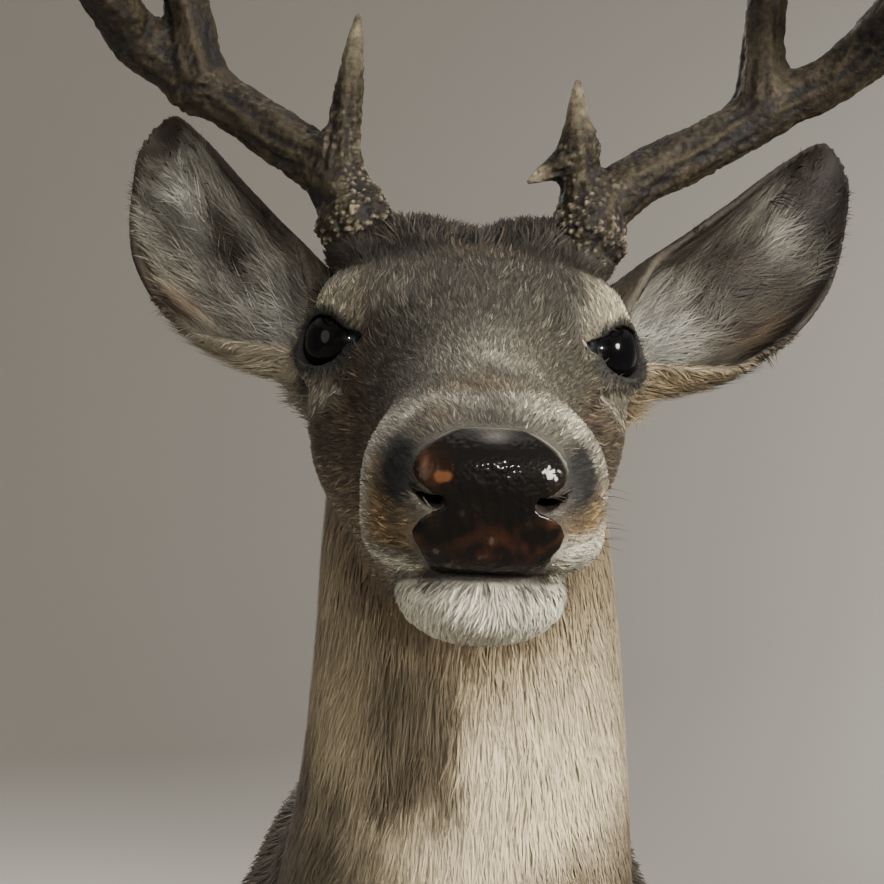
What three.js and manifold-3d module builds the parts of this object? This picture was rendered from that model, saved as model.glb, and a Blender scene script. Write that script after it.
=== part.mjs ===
// A whitetail buck's shoulder mount: head, neck, shoulders and antlers, with the board at the back. In mm.
// The wall is the plane y = 0, the buck looks along -Y and +Z is up. Left and right are the animal's own.
import * as THREE from "three";
import { LoftGeometry } from "three/addons/geometries/LoftGeometry.js";
import { mergeVertices } from "three/addons/utils/BufferGeometryUtils.js";
import Module from "manifold-3d";

const wasm = await Module();
wasm.setup();

// Where the head sits. Head parts are drawn in the head's own frame: x across, s back from the nose, w up.
const NOSE_OUT = 505; // nose tip to wall
const NOSE_UP = 240; // mouth line above the board's centre, at the nose
const HEAD_PITCH = 14; // degrees the nose is down
const HEAD_YAW = 1.4; // degrees the head is turned to its left
const YAW_S = 105; // the turn leaves this point of the head where it is

const SEAM = 0.3; // the cut between two solids
const FINEST = 0.55; // facets of the flesh that stand out by less than this are left out
const MOUTH_CORNER_S = 92;
const MOUTH_W = -11;
const MUZZLE_END_S = 114;
const POLL_S = 262; // the head's last slice, at the nape
const THROAT_W = -74; // the head's lowest slice, under the jaw

const EYE = { s: 187, out: 52, w: 50, r: 17, lid: 2.6 };
const GAZE = { out: 0.72, s: -0.69, w: 0.1 }; // the way each eye looks, in the head's frame
const EYE_OPENING = { long: 15.5, high: 11.5, deep: 12 };
const NOSTRIL = { s: 8, out: 20, w: 20.5, deep: 10, wide: 7, high: 4.2 };
const PAD_DEPTH = 15; // how far the bare nose pad reaches back

const EAR = { s: 250, out: 66, w: 44, thick: 6.5, bow: 14 };
const EAR_TIP = { right: [-160, -222, 461], left: [181, -218, 459] };

const BOARD = { across: 220, up: 290, thick: 19 };

const v = (x, y, z) => new THREE.Vector3(x, y, z);
const rad = THREE.MathUtils.degToRad;
const sides = { left: 1, right: -1 };

// A smooth curve of one value through [at, value] pairs, with no overshoot.
function profile(pairs) {
  const slope = (i) => (pairs[i + 1][1] - pairs[i][1]) / (pairs[i + 1][0] - pairs[i][0]);
  const last = pairs.length - 1;
  const tangent = pairs.map((_, i) => {
    if (i === 0) return slope(0);
    if (i === last) return slope(last - 1);
    const a = slope(i - 1);
    const b = slope(i);
    return a * b <= 0 ? 0 : (2 * a * b) / (a + b);
  });
  return (at) => {
    const t = THREE.MathUtils.clamp(at, pairs[0][0], pairs[last][0]);
    let i = 0;
    while (i < last - 1 && t > pairs[i + 1][0]) i++;
    const h = pairs[i + 1][0] - pairs[i][0];
    const u = (t - pairs[i][0]) / h;
    const rise = u * u * (3 - 2 * u);
    const bend = tangent[i] * u * (1 - u) ** 2 - tangent[i + 1] * u * u * (1 - u);
    return pairs[i][1] * (1 - rise) + pairs[i + 1][1] * rise + h * bend;
  };
}

// The points of an oval as [across, up], squarer than an ellipse at its corners when a power is over 2.
function oval(count, half, up, down, power, powerBelow = power) {
  return Array.from({ length: count }, (_, i) => {
    const angle = (2 * Math.PI * i) / count;
    const bend = Math.sin(angle) < -1e-9 ? powerBelow : power;
    const bulge = (t) => Math.sign(t) * Math.abs(t) ** (2 / bend);
    const rise = bulge(Math.sin(angle));
    return [half * bulge(Math.cos(angle)), rise * (rise > 0 ? up : down)];
  });
}

function solid(geometry) {
  const bare = new THREE.BufferGeometry();
  bare.setAttribute("position", geometry.getAttribute("position")).setIndex(geometry.index);
  const merged = mergeVertices(bare, 1e-4);
  return new wasm.Manifold(
    new wasm.Mesh({
      numProp: 3,
      vertProperties: new Float32Array(merged.attributes.position.array),
      triVerts: new Uint32Array(merged.index.array),
    }),
  );
}

const loft = (sections) => solid(new LoftGeometry(sections, { capStart: true, capEnd: true }));
const join = (...parts) => parts.reduce((all, part) => all.add(part));
const put = (part, matrix) => part.transform(matrix.elements);
const largest = (part) => part.decompose().reduce((a, b) => (b.volume() > a.volume() ? b : a));

function ellipsoid(x, y, z, rx, ry, rz, around = 12, rings = 8) {
  const ball = new THREE.SphereGeometry(1, around, rings).rotateX(Math.PI / 2);
  return solid(ball.scale(rx, ry, rz).translate(x, y, z));
}

function box(x0, x1, y0, y1, z0, z1) {
  const g = new THREE.BoxGeometry(x1 - x0, y1 - y0, z1 - z0);
  return solid(g.translate((x0 + x1) / 2, (y0 + y1) / 2, (z0 + z1) / 2));
}

// Parts a solid at the faces of a box: what lies inside, and the rest, a seam apart.
function part(whole, x0, x1, y0, y1, z0, z1) {
  const g = SEAM;
  return [
    whole.intersect(box(x0, x1, y0, y1, z0, z1)),
    whole.subtract(box(x0 - g, x1 + g, y0 - g, y1 + g, z0 - g, z1 + g)),
  ];
}

// From the head's frame to the wall's.
function headMatrix() {
  const pitched = new THREE.Matrix4().makeTranslation(0, -NOSE_OUT, NOSE_UP)
    .multiply(new THREE.Matrix4().makeRotationX(rad(HEAD_PITCH)));
  const pivot = v(0, YAW_S, 0).applyMatrix4(pitched);
  return new THREE.Matrix4().makeTranslation(pivot.x, pivot.y, pivot.z)
    .multiply(new THREE.Matrix4().makeRotationZ(rad(HEAD_YAW)))
    .multiply(new THREE.Matrix4().makeTranslation(-pivot.x, -pivot.y, -pivot.z))
    .multiply(pitched);
}

const HEAD = headMatrix();
const atHead = (x, s, w) => v(x, s, w).applyMatrix4(HEAD);

// ---- Head ----

// The skull and face: for each slice, its top, widest level, bottom, half width, and squareness above and
// below that level. The upper lips hang square.
const face = {
  top: profile([[0, 27], [2, 32], [10, 39], [20, 43], [40, 47], [60, 50], [90, 55], [120, 62],
    [150, 71], [175, 81], [190, 87], [215, 95], [240, 100], [265, 98], [290, 87], [312, 62]]),
  level: profile([[0, 16], [60, 15], [120, 17], [150, 28], [175, 40], [190, 45], [240, 44], [312, 34]]),
  bottom: profile([[0, 6], [2, 0], [8, -6], [20, -9], [40, -11], [60, -11], [90, -13], [120, -20],
    [150, -32], [190, -48], [220, -52], [260, -42], [290, -24], [312, 4]]),
  half: profile([[0, 14], [2, 21], [10, 30], [20, 35], [40, 40.5], [60, 39.5], [90, 37], [120, 40],
    [150, 47], [170, 54], [187, 61], [210, 64], [240, 61], [265, 57], [290, 48], [312, 24]]),
  square: profile([[0, 2.4], [40, 2.5], [100, 2.2], [180, 2.3], [225, 2.8], [270, 2.5], [312, 2.1]]),
  squareBelow: profile([[0, 2.4], [20, 4], [70, 4], [115, 2.2], [180, 2.3], [225, 2.8], [270, 2.5],
    [312, 2.1]]),
};
const FACE_SLICES = [0, 2, 9, 22, 40, 62, 90, 120, 148, 170, 190, 212, 238, 265, 290, 312];

const jaw = {
  top: () => 2,
  level: profile([[14, -8], [60, -10], [150, -16], [240, -20]]),
  bottom: profile([[14, -20], [20, -27], [30, -32], [50, -34.5], [90, -37.5], [120, -43], [150, -52],
    [190, -63], [220, -69], [242, -60]]),
  half: profile([[14, 17], [20, 23], [30, 27], [80, 27], [110, 29], [150, 34], [190, 42],
    [220, 46], [242, 38]]),
  square: () => 2.3,
  squareBelow: () => 2.3,
};
const JAW_SLICES = [10, 20, 32, 55, 85, 115, 145, 175, 205, 228, 242];

// A loft along s, its slices running from the nose back.
function alongHead(shape, slices, around) {
  return loft(slices.map((s) => {
    const level = shape.level(s);
    const [up, down] = [shape.top(s) - level, level - shape.bottom(s)];
    const ring = oval(around, shape.half(s), up, down, shape.square(s), shape.squareBelow(s));
    return ring.reverse().map(([x, w]) => v(x, s, level + w));
  }));
}

function wholeHead() {
  const parts = [alongHead(face, FACE_SLICES, 24), alongHead(jaw, JAW_SLICES, 16)];
  parts.push(ellipsoid(0, 35, -18.5, 27, 27, 16)); // chin
  for (const k of [1, -1]) {
    parts.push(ellipsoid(k * 40, 204, 18, 28, 53, 46)); // cheek
    parts.push(ellipsoid(k * 40, 200, 66, 26, 38, 17)); // brow
    parts.push(ellipsoid(k * EYE.out, EYE.s, EYE.w, ...Array(3).fill(EYE.r + EYE.lid))); // lids
    parts.push(ellipsoid(k * 58, 241, 40, 22, 20, 32)); // root of the ear
    parts.push(ellipsoid(k * 47, 238, 88, 20, 24, 14)); // pedicle
  }
  return join(...parts);
}

const eyeball = (k, grow) => ellipsoid(k * EYE.out, EYE.s, EYE.w, ...Array(3).fill(EYE.r + grow), 14, 9);

// The gap between the lids, as the ellipsoid that opens them.
function eyeOpening(k) {
  const centre = v(k * EYE.out, EYE.s, EYE.w);
  const gaze = v(k * GAZE.out, GAZE.s, GAZE.w).normalize();
  const level = v(0, 0, 1).cross(gaze).normalize();
  const turn = new THREE.Matrix4().makeBasis(level, gaze, v(0, 0, 0).crossVectors(level, gaze));
  turn.setPosition(centre.addScaledVector(gaze, EYE.r));
  return put(ellipsoid(0, 0, 0, EYE_OPENING.long, EYE_OPENING.deep, EYE_OPENING.high, 14, 6), turn);
}

// The nose pad's outline: broad above, drawn in at the nostrils, square at the lip.
const padHalf = profile([[-4, 18], [3, 21], [8.5, 23.6], [13, 21], [17.5, 16], [21, 18.5], [25, 22.8],
  [30, 24.2], [35, 22], [38.5, 16.5], [41, 7]]);
const PAD_ROWS = [-4, 3, 8.5, 13, 17.5, 21, 25, 30, 35, 38.5, 41];
function padPrism(grow) {
  const right = PAD_ROWS.map((w) => [padHalf(w) + grow, w + (w < 0 ? -grow : grow * (w > 40))]);
  const outline = [...right, ...right.map(([x, w]) => [-x, w]).reverse()];
  const ends = [-12, PAD_DEPTH + grow];
  return loft(ends.map((s) => outline.map(([x, w]) => v(x, s, w)).reverse()));
}

// ---- Ears ----

const ear = {
  half: profile([[0, 24], [0.1, 30], [0.25, 35], [0.42, 36], [0.58, 34], [0.72, 29.5], [0.84, 23],
    [0.93, 16.5], [0.98, 10.5], [1, 5]]),
  wrap: profile([[0, 150], [0.12, 122], [0.25, 96], [0.4, 85], [0.6, 76], [0.8, 62], [1, 50]]),
  depth: profile([[0, 22], [0.3, 16], [0.6, 9], [1, 3]]),
  thick: profile([[0, 1], [0.5, 0.9], [0.85, 0.7], [1, 0.5]]),
};

// A cupped ear: slices across its length, each a thick arc that opens forward.
function earLoft(side, grow) {
  const k = sides[side];
  const root = atHead(k * EAR.out, EAR.s, EAR.w);
  const tip = v(...EAR_TIP[side]);
  const along = tip.clone().sub(root).normalize();
  const open = v(k * 0.14, -1, -0.15);
  open.addScaledVector(along, -along.dot(open)).normalize();
  const out = v(0, 0, 0).crossVectors(along, open).multiplyScalar(k).normalize();
  const length = tip.distanceTo(root);
  const slices = [-0.12, 0, 0.1, 0.22, 0.36, 0.5, 0.64, 0.76, 0.87, 0.94, 0.98, 1];
  const sections = slices.map((t) => {
    const wrap = rad(ear.wrap(t));
    const radius = ear.half(t) / Math.sin(Math.min(wrap, Math.PI / 2));
    const thick = EAR.thick * ear.thick(t);
    const centre = root.clone().addScaledVector(along, t * length + grow * Math.sign(t - 0.5))
      .addScaledVector(out, EAR.bow * Math.sin(Math.PI * Math.max(t, 0)))
      .addScaledVector(open, radius - ear.depth(t));
    const arc = (r, from, to) => Array.from({ length: 8 }, (_, i) => {
      const angle = from + ((to - from) * i) / 7;
      return centre.clone().addScaledVector(out, r * Math.sin(angle))
        .addScaledVector(open, -r * Math.cos(angle));
    });
    const edge = wrap + grow / radius;
    return [...arc(radius + grow, -edge, edge), ...arc(radius - thick - grow, edge, -edge)];
  });
  return loft(k > 0 ? sections.map((ring) => ring.reverse()) : sections);
}

// ---- Neck and shoulders ----

// Slices along the spine: the centre of each, the lean of the spine above the level,
// half width, reach to the nape side and reach to the throat side.
const spine = {
  x: profile([[0, 0], [2, 0], [3, 3], [4, 5], [5, 4], [6, 1], [8, -2]]),
  y: profile([[0, 0], [1, -60], [2, -110], [3, -140], [4, -160], [5, -180], [6, -205], [7, -231],
    [8, -266]]),
  z: profile([[0, -5], [1, 0], [2, 30], [3, 85], [4, 150], [5, 210], [6, 263], [7, 303], [8, 328]]),
  lean: profile([[0, 0], [1, 10], [2, 30], [3, 50], [4, 62], [5, 66], [6, 63], [7, 50], [8, 26]]),
  half: profile([[0, 128], [1, 127], [2, 110], [3, 98], [4, 89], [5, 82], [6, 75], [7, 67], [8, 56]]),
  nape: profile([[0, 172], [1, 168], [2, 150], [3, 122], [4, 103], [5, 92], [6, 86], [7, 82], [8, 64]]),
  throat: profile([[0, 172], [1, 171], [2, 163], [3, 138], [4, 106], [5, 92], [6, 83], [7, 72], [8, 56]]),
};

function bodyLoft() {
  const slices = [0, 1, 1.5, 2, 2.5, 3, 4, 5, 6, 6.5, 7, 7.5, 8];
  return loft(slices.map((t) => {
    const lean = rad(spine.lean(t));
    const ring = oval(28, spine.half(t), spine.nape(t), spine.throat(t), 2.15);
    return ring.map(([x, u]) =>
      v(spine.x(t) + x, spine.y(t) + u * Math.sin(lean), spine.z(t) + u * Math.cos(lean)));
  }));
}

function wholeBody() {
  const blades = [1, -1].map((k) => ellipsoid(k * 78, -50, -50, 74, 76, 120, 16, 10));
  const behind = box(-400, 400, 0, 400, -400, 400);
  return join(bodyLoft(), ...blades).subtract(behind);
}

// ---- Antlers ----

// Each beam as points from the burr to the tip, then its tines as base, middle and tip.
const antlers = {
  right: {
    beam: [[-52, -301, 386], [-58, -297, 404], [-71, -293, 422], [-87, -290, 433], [-103, -287, 444],
      [-123, -284, 457], [-144, -284, 470], [-159, -290, 480], [-168, -306, 491], [-189, -345, 509],
      [-203, -395, 524], [-201, -448, 535], [-181, -493, 541], [-150, -524, 543]],
    tines: {
      brow_tine: { path: [[-64, -298, 412], [-60, -306, 449], [-56, -314, 484]], r: 8.8 },
      g2: { path: [[-130, -284, 462], [-141, -294, 520], [-144, -316, 578], [-136, -342, 632]], r: 11.5 },
      g3: { path: [[-194, -358, 513], [-207, -368, 558], [-207, -382, 600], [-199, -398, 638]], r: 10.5 },
    },
  },
  left: {
    beam: [[47, -302, 383], [54, -297, 404], [72, -292, 421], [95, -288, 434], [116, -285, 447],
      [138, -284, 461], [159, -288, 472], [174, -298, 483], [185, -316, 495], [203, -354, 511],
      [214, -403, 525], [211, -455, 536], [192, -500, 542], [161, -528, 544]],
    tines: {
      brow_tine: { path: [[47, -299, 400], [43, -304, 430], [42, -309, 459]], r: 9.6 },
      kicker: { path: [[45, -304, 431], [33, -306, 422], [22, -308, 414]], r: 6.4 },
      g2: { path: [[128, -284, 460], [130, -290, 512], [138, -308, 566], [134, -334, 618]], r: 10.5 },
      g3: { path: [[206, -366, 515], [217, -376, 556], [217, -390, 596], [209, -406, 630]], r: 10 },
    },
  },
};
const beamRadius = profile([[0, 13], [0.015, 17.5], [0.035, 16.5], [0.06, 13.4], [0.12, 12], [0.3, 11.2],
  [0.36, 12], [0.6, 10.6], [0.8, 8.4], [0.93, 5.2], [1, 2]]);
const tineRadius = profile([[0, 1], [0.25, 0.84], [0.6, 0.66], [0.85, 0.44], [1, 0.18]]);
const BEAM_SLICES = [0, 0.015, 0.035, 0.06, 0.11, 0.17, 0.23, 0.29, 0.36, 0.43, 0.5, 0.57, 0.64, 0.71,
  0.78, 0.85, 0.92, 0.97, 1];
const TINE_SLICES = [0, 0.15, 0.35, 0.55, 0.75, 0.9, 1];
const FORKS = [0.36, 0.64]; // the beam is cut past the second and the third tine

// Rings along a curve, turned with the curve and not about it.
function rings(points, slices, around, radius) {
  const curve = new THREE.CatmullRomCurve3(points.map((p) => v(...p)));
  let across = v(0, 1, 0);
  return slices.map((t) => {
    const centre = curve.getPointAt(t);
    const ahead = curve.getTangentAt(t);
    across = across.clone().addScaledVector(ahead, -across.dot(ahead)).normalize();
    const other = v(0, 0, 0).crossVectors(ahead, across);
    return Array.from({ length: around }, (_, i) => {
      const angle = (2 * Math.PI * i) / around;
      return centre.clone().addScaledVector(across, radius(t) * Math.cos(angle))
        .addScaledVector(other, radius(t) * Math.sin(angle));
    });
  });
}

const tineLoft = ({ path, r }, grow) => loft(rings(path, TINE_SLICES, 8, (t) => r * tineRadius(t) + grow));

function antlerSolids(side) {
  const { beam, tines } = antlers[side];
  const found = {};
  const gap = SEAM / 500; // the seam as a share of the beam's length
  const slices = [...BEAM_SLICES, ...FORKS.map((t) => t + gap)].sort((a, b) => a - b);
  const starts = [0, ...FORKS.map((t) => t + gap)];
  const ends = [...FORKS, 1];
  const thin = rings(beam, slices, 10, beamRadius);
  ["beam_base", "beam_middle", "beam_tip"].forEach((name, i) => {
    found[name] = loft(thin.filter((_, j) => slices[j] >= starts[i] && slices[j] <= ends[i]));
  });
  const wideBeam = loft(rings(beam, slices, 10, (t) => beamRadius(t) + SEAM));
  for (const [name, tine] of Object.entries(tines)) {
    found[name] = largest(tineLoft(tine, 0).subtract(wideBeam));
  }
  if (tines.kicker) found.kicker = largest(found.kicker.subtract(tineLoft(tines.brow_tine, SEAM)));
  return { found, wideBeam };
}

// ---- The whole mount ----

function ellipsePlate(across, up, y0, y1) {
  return loft([y0, y1].map((y) => oval(40, across / 2, up / 2, up / 2, 2).map(([x, z]) => v(x, y, z))));
}

function build() {
  const nodes = {};
  const wideEars = Object.keys(sides).map((side) => earLoft(side, SEAM));
  const wideEyes = [1, -1].map((k) => put(eyeball(k, SEAM), HEAD));
  const openings = [1, -1].map((k) => put(eyeOpening(k), HEAD));
  const socket = join(...wideEars, ...wideEyes, ...openings);

  const toHead = HEAD.clone().invert();
  const whole = join(put(wholeHead(), HEAD), wholeBody()).simplify(FINEST);
  const flesh = put(whole.subtract(socket), toHead);
  const [top, rest] = part(flesh, -120, 120, -20, POLL_S, THROAT_W, 160);
  const [front, head] = part(top, -120, 120, -20, MUZZLE_END_S, -120, 160);
  const [jawPiece, upper] = part(front, -120, 120, -20, MOUTH_CORNER_S, -120, MOUTH_W);
  const nostrils = join(...[1, -1].map((k) =>
    ellipsoid(k * NOSTRIL.out, NOSTRIL.s, NOSTRIL.w, NOSTRIL.wide, NOSTRIL.deep, NOSTRIL.high, 12, 9)));
  nodes.nose_pad = put(upper.intersect(padPrism(0)).subtract(nostrils), HEAD);
  nodes.muzzle = put(upper.subtract(padPrism(SEAM)).subtract(nostrils), HEAD);
  nodes.lower_jaw = put(jawPiece, HEAD);
  nodes.head = put(head, HEAD);

  const body = put(rest, HEAD);
  const lean = rad(50);
  const spineFrame = new THREE.Matrix4().makeTranslation(0, -140, 85)
    .multiply(new THREE.Matrix4().makeRotationX(-lean));
  const [neck, chest] = part(put(body, spineFrame.clone().invert()), -400, 400, -600, 0, -400, 400);
  nodes.neck = put(largest(neck), spineFrame);
  const pocket = ellipsePlate(BOARD.across + 2 * SEAM, BOARD.up + 2 * SEAM, 1, -BOARD.thick - SEAM);
  nodes.shoulders = put(chest, spineFrame).subtract(pocket);

  for (const [side, k] of Object.entries(sides)) {
    nodes["ear_" + side] = earLoft(side, 0);
    nodes["eye_" + side] = put(eyeball(k, 0), HEAD);
    const { found, wideBeam } = antlerSolids(side);
    nodes.head = nodes.head.subtract(wideBeam);
    for (const [name, piece] of Object.entries(found)) nodes["antler_" + side + "_" + name] = piece;
  }

  nodes.backboard = ellipsePlate(BOARD.across, BOARD.up, 0, -BOARD.thick);
  return nodes;
}

const finishes = {
  head: 0x6f665a, muzzle: 0x7a7064, lower_jaw: 0xd6cfbe, neck: 0x9c8a6e, shoulders: 0x57504a,
  ear: 0x6b6258, nose_pad: 0x171414, eye: 0x0c0a08, antler: 0x6a5a48, backboard: 0xa88557,
};
const finishOf = (name) => finishes[name] ?? finishes[name.split("_")[0]];
const roughnessOf = (name) => (/^(eye|nose)/.test(name) ? 0.2 : 0.8);

function meshOf(name, manifold) {
  const { vertProperties, triVerts } = manifold.simplify(SEAM / 3).getMesh();
  const geometry = new THREE.BufferGeometry();
  geometry.setAttribute("position", new THREE.BufferAttribute(vertProperties, 3));
  geometry.setIndex(new THREE.BufferAttribute(triVerts, 1));
  geometry.computeVertexNormals();
  const material = new THREE.MeshStandardMaterial({
    name, color: finishOf(name), roughness: roughnessOf(name), metalness: 0,
  });
  const mesh = new THREE.Mesh(geometry, material);
  mesh.name = name;
  return mesh;
}

const mount = new THREE.Group();
mount.name = "deer_shoulder_mount";
for (const [name, piece] of Object.entries(build())) mount.add(meshOf(name, piece));
export default mount;
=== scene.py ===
"""Looks of the deer shoulder mount.

Shapes are worked out in millimetres, in the CAD's frame, and become metres when a mesh is made. One skin is
contoured from a field of distances, and the coat is laid over it in tufts.
"""

import bpy
import numpy as np
from mathutils import Matrix


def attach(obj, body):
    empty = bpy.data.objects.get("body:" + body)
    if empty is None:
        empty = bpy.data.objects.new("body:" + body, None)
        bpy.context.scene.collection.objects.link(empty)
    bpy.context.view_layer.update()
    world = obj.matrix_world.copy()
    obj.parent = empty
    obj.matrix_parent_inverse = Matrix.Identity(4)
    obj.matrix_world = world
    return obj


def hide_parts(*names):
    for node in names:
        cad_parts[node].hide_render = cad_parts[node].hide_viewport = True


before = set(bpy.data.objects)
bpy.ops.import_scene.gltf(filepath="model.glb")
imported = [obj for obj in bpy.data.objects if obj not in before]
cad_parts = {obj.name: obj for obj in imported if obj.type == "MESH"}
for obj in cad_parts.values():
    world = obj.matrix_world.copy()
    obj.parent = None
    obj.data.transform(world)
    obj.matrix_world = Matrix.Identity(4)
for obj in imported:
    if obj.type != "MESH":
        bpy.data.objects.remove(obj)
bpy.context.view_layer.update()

MM = 0.001
RNG = np.random.default_rng(11)

# ---- Driving sizes, mm ----
NOSE = np.array([0.0, -505.0, 240.0])  # nose tip, on the mouth line
HEAD_PITCH, HEAD_YAW, YAW_S = 14.0, 1.4, 105.0
EYE = {"out": 52.0, "s": 187.0, "w": 50.0, "r": 17.0, "lid": 1.7}
GAZE = np.array([0.72, -0.69, 0.1])
OPENING = (15.5, 12.0, 11.0)  # half length, depth and half height of the gap between the lids
EAR_ROOT = {"s": 250.0, "out": 66.0, "w": 44.0}
EAR_TIP = {1: (181.0, -218.0, 459.0), -1: (-160.0, -222.0, 461.0)}
EAR_THICK, EAR_BOW = 6.5, 14.0
MOUTH_CORNER = 90.0
PAD_BACK = 14.0

EYE_AT = np.array([EYE["out"], EYE["s"], EYE["w"]])  # the left eye's centre in the head's frame
HEAD_END = 345.0  # the head's own shapes reach no farther back than this
HEAD_BLEND, EAR_BLEND, LID_BLEND = 24.0, 9.0, 6.0  # how widely each runs into what it grows from
TUFT_SUNK = 0.4  # how far a tuft's foot is under the skin
HALF_PATCH = 0.0014  # half the width of a hair's patch on the map
PIECE_LIMIT = 185_000  # triangles in one piece of the coat
SKIN_SHADE = 0.72  # painted shade: the skin's colours darkened between the tufts, next to their roots

CAMERA = {"at": (-12.5, -953.7, 229.4), "up": 6.0, "roll": 2.0, "lens": 61.09}


def profile(*pairs):
    """A smooth curve of one value through (at, value) pairs, with no overshoot, read from a fine table."""
    t, y = np.array(pairs, float).T
    slope = np.diff(y) / np.diff(t)
    with np.errstate(divide="ignore", invalid="ignore"):
        inner = 2 * slope[:-1] * slope[1:] / (slope[:-1] + slope[1:])
    inner = np.where(slope[:-1] * slope[1:] > 0, inner, 0.0)
    tangent = np.concatenate([slope[:1], inner, slope[-1:]])
    fine = np.linspace(t[0], t[-1], 600)
    i = np.clip(np.searchsorted(t, fine, "right") - 1, 0, len(t) - 2)
    h = t[i + 1] - t[i]
    u = (fine - t[i]) / h
    rise = u * u * (3 - 2 * u)
    bend = tangent[i] * u * (1 - u) ** 2 - tangent[i + 1] * u * u * (1 - u)
    table = y[i] * (1 - rise) + y[i + 1] * rise + h * bend
    return lambda at: np.interp(at, fine, table)


FACE = {
    "top": profile((0, 27), (2, 32), (10, 39), (20, 43), (40, 47), (60, 50), (90, 55), (120, 62), (150, 71),
                   (175, 81), (190, 87), (215, 95), (240, 100), (265, 98), (290, 87), (312, 62)),
    "level": profile((0, 16), (60, 15), (120, 17), (150, 28), (175, 40), (190, 45), (240, 44), (312, 34)),
    "bottom": profile((0, 7), (2, 1), (8, -4), (20, -8), (40, -13), (60, -14), (90, -15), (120, -20),
                      (150, -32), (190, -48), (220, -52), (260, -42), (290, -24), (312, 4)),
    "half": profile((0, 14), (2, 21), (10, 30), (20, 35), (40, 40.5), (60, 39.5), (90, 37), (120, 40),
                    (150, 47), (170, 54), (187, 61), (210, 64), (240, 61), (265, 57), (290, 48), (312, 24)),
    "square": profile((0, 2.4), (40, 2.5), (100, 2.2), (180, 2.3), (225, 2.8), (270, 2.5), (312, 2.1)),
    "square_low": profile((0, 2.4), (20, 4), (70, 4), (115, 2.2), (180, 2.3), (225, 2.8), (270, 2.5),
                          (312, 2.1)),
    "coat": profile((0, 0.8), (30, 1.0), (120, 1.5), (180, 2.0), (250, 3.0), (312, 4.0)),
}
JAW = {
    "top": lambda s: np.full_like(s, 2.0),
    "level": profile((14, -8), (60, -10), (150, -16), (240, -20)),
    "bottom": profile((14, -20), (20, -27), (30, -32), (50, -34.5), (90, -37.5), (120, -43), (150, -52),
                      (190, -63), (220, -69), (242, -60)),
    "half": profile((14, 17), (20, 23), (30, 27), (80, 27), (110, 29), (150, 34), (190, 42), (220, 46),
                    (242, 38)),
    "square": lambda s: np.full_like(s, 2.3),
    "square_low": lambda s: np.full_like(s, 2.3),
    "coat": profile((14, 1.5), (100, 2.0), (240, 3.5)),
}
SPINE = {
    "x": profile((0, 0), (2, 0), (3, 3), (4, 5), (5, 4), (6, 1), (8, -2)),
    "y": profile((0, 0), (1, -60), (2, -110), (3, -140), (4, -160), (5, -180), (6, -205), (7, -231),
                 (8, -266)),
    "z": profile((0, -5), (1, 0), (2, 30), (3, 85), (4, 150), (5, 210), (6, 263), (7, 303), (8, 328)),
    "lean": profile((0, 0), (1, 10), (2, 30), (3, 50), (4, 62), (5, 66), (6, 63), (7, 50), (8, 26)),
    "half": profile((0, 128), (1, 127), (2, 110), (3, 98), (4, 89), (5, 82), (6, 75), (7, 67), (8, 56)),
    "nape": profile((0, 172), (1, 168), (2, 150), (3, 122), (4, 103), (5, 92), (6, 86), (7, 82), (8, 64)),
    "throat": profile((0, 172), (1, 171), (2, 163), (3, 138), (4, 106), (5, 92), (6, 83), (7, 72), (8, 56)),
    "coat": profile((0, 8), (3, 8), (5, 7), (7, 5), (8, 4)),
}
EAR = {
    "half": profile((0, 24), (0.1, 30), (0.25, 35), (0.42, 36), (0.58, 34), (0.72, 29.5), (0.84, 23),
                    (0.93, 16.5), (0.98, 10.5), (1, 5)),
    "wrap": profile((0, 150), (0.12, 122), (0.25, 96), (0.4, 85), (0.6, 76), (0.8, 62), (1, 50)),
    "depth": profile((0, 22), (0.3, 16), (0.6, 9), (1, 3)),
    "thick": profile((0, 1), (0.5, 0.9), (0.85, 0.7), (1, 0.5)),
}
PAD_HALF = profile((-6, 17), (-2, 18.5), (3, 21), (8.5, 23.6), (13, 21), (17.5, 15.5), (21, 18.5), (25, 23),
                   (28, 24), (33, 21.5), (36.5, 17), (39, 12), (41, 6), (41.8, 1))
MOUTH_LINE = profile((0, -4), (8, -5.5), (20, -8.5), (40, -12.5), (60, -13.5), (92, -11))


# ---- Frames ----
def turn(axis, degrees):
    return np.array(Matrix.Rotation(np.radians(degrees), 3, axis))


HEAD_TURN = turn("Z", HEAD_YAW) @ turn("X", HEAD_PITCH)
_pivot = turn("X", HEAD_PITCH) @ np.array([0, YAW_S, 0]) + NOSE
HEAD_AT = _pivot + turn("Z", HEAD_YAW) @ (NOSE - _pivot)


def to_head(p):
    """World to the head's frame: x across, s back from the nose, w up."""
    return (p - HEAD_AT) @ HEAD_TURN


def from_head(q):
    return np.asarray(q, float) @ HEAD_TURN.T + HEAD_AT


def mirrored(q):
    """Points of either half laid over on the left one."""
    return np.stack([np.abs(q[..., 0]), q[..., 1], q[..., 2]], -1)


def unit(v):
    return v / np.maximum(np.linalg.norm(v, axis=-1, keepdims=True), 1e-9)


def ramp(x, low, high):
    t = np.clip((x - low) / (high - low), 0, 1)
    return t * t * (3 - 2 * t)


def near(x, middle, width):
    return np.exp(-((x - middle) / width) ** 2)


# ---- Distances ----
def smooth_min(a, b, k):
    h = np.maximum(k - np.abs(a - b), 0) / k
    return np.minimum(a, b) - h * h * k / 4


def smooth_max(a, b, k):
    return -smooth_min(-a, -b, k)


def oval_tube(across, rise, half, up, down, power, power_low=None):
    tall = np.where(rise > 0, up, down)
    power = power if power_low is None else np.where(rise > 0, power, power_low)
    rho = ((np.abs(across) / half) ** power + (np.abs(rise) / tall) ** power) ** (1 / power)
    return np.hypot(across, rise) * (1 - 1 / np.maximum(rho, 1e-3))


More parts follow.
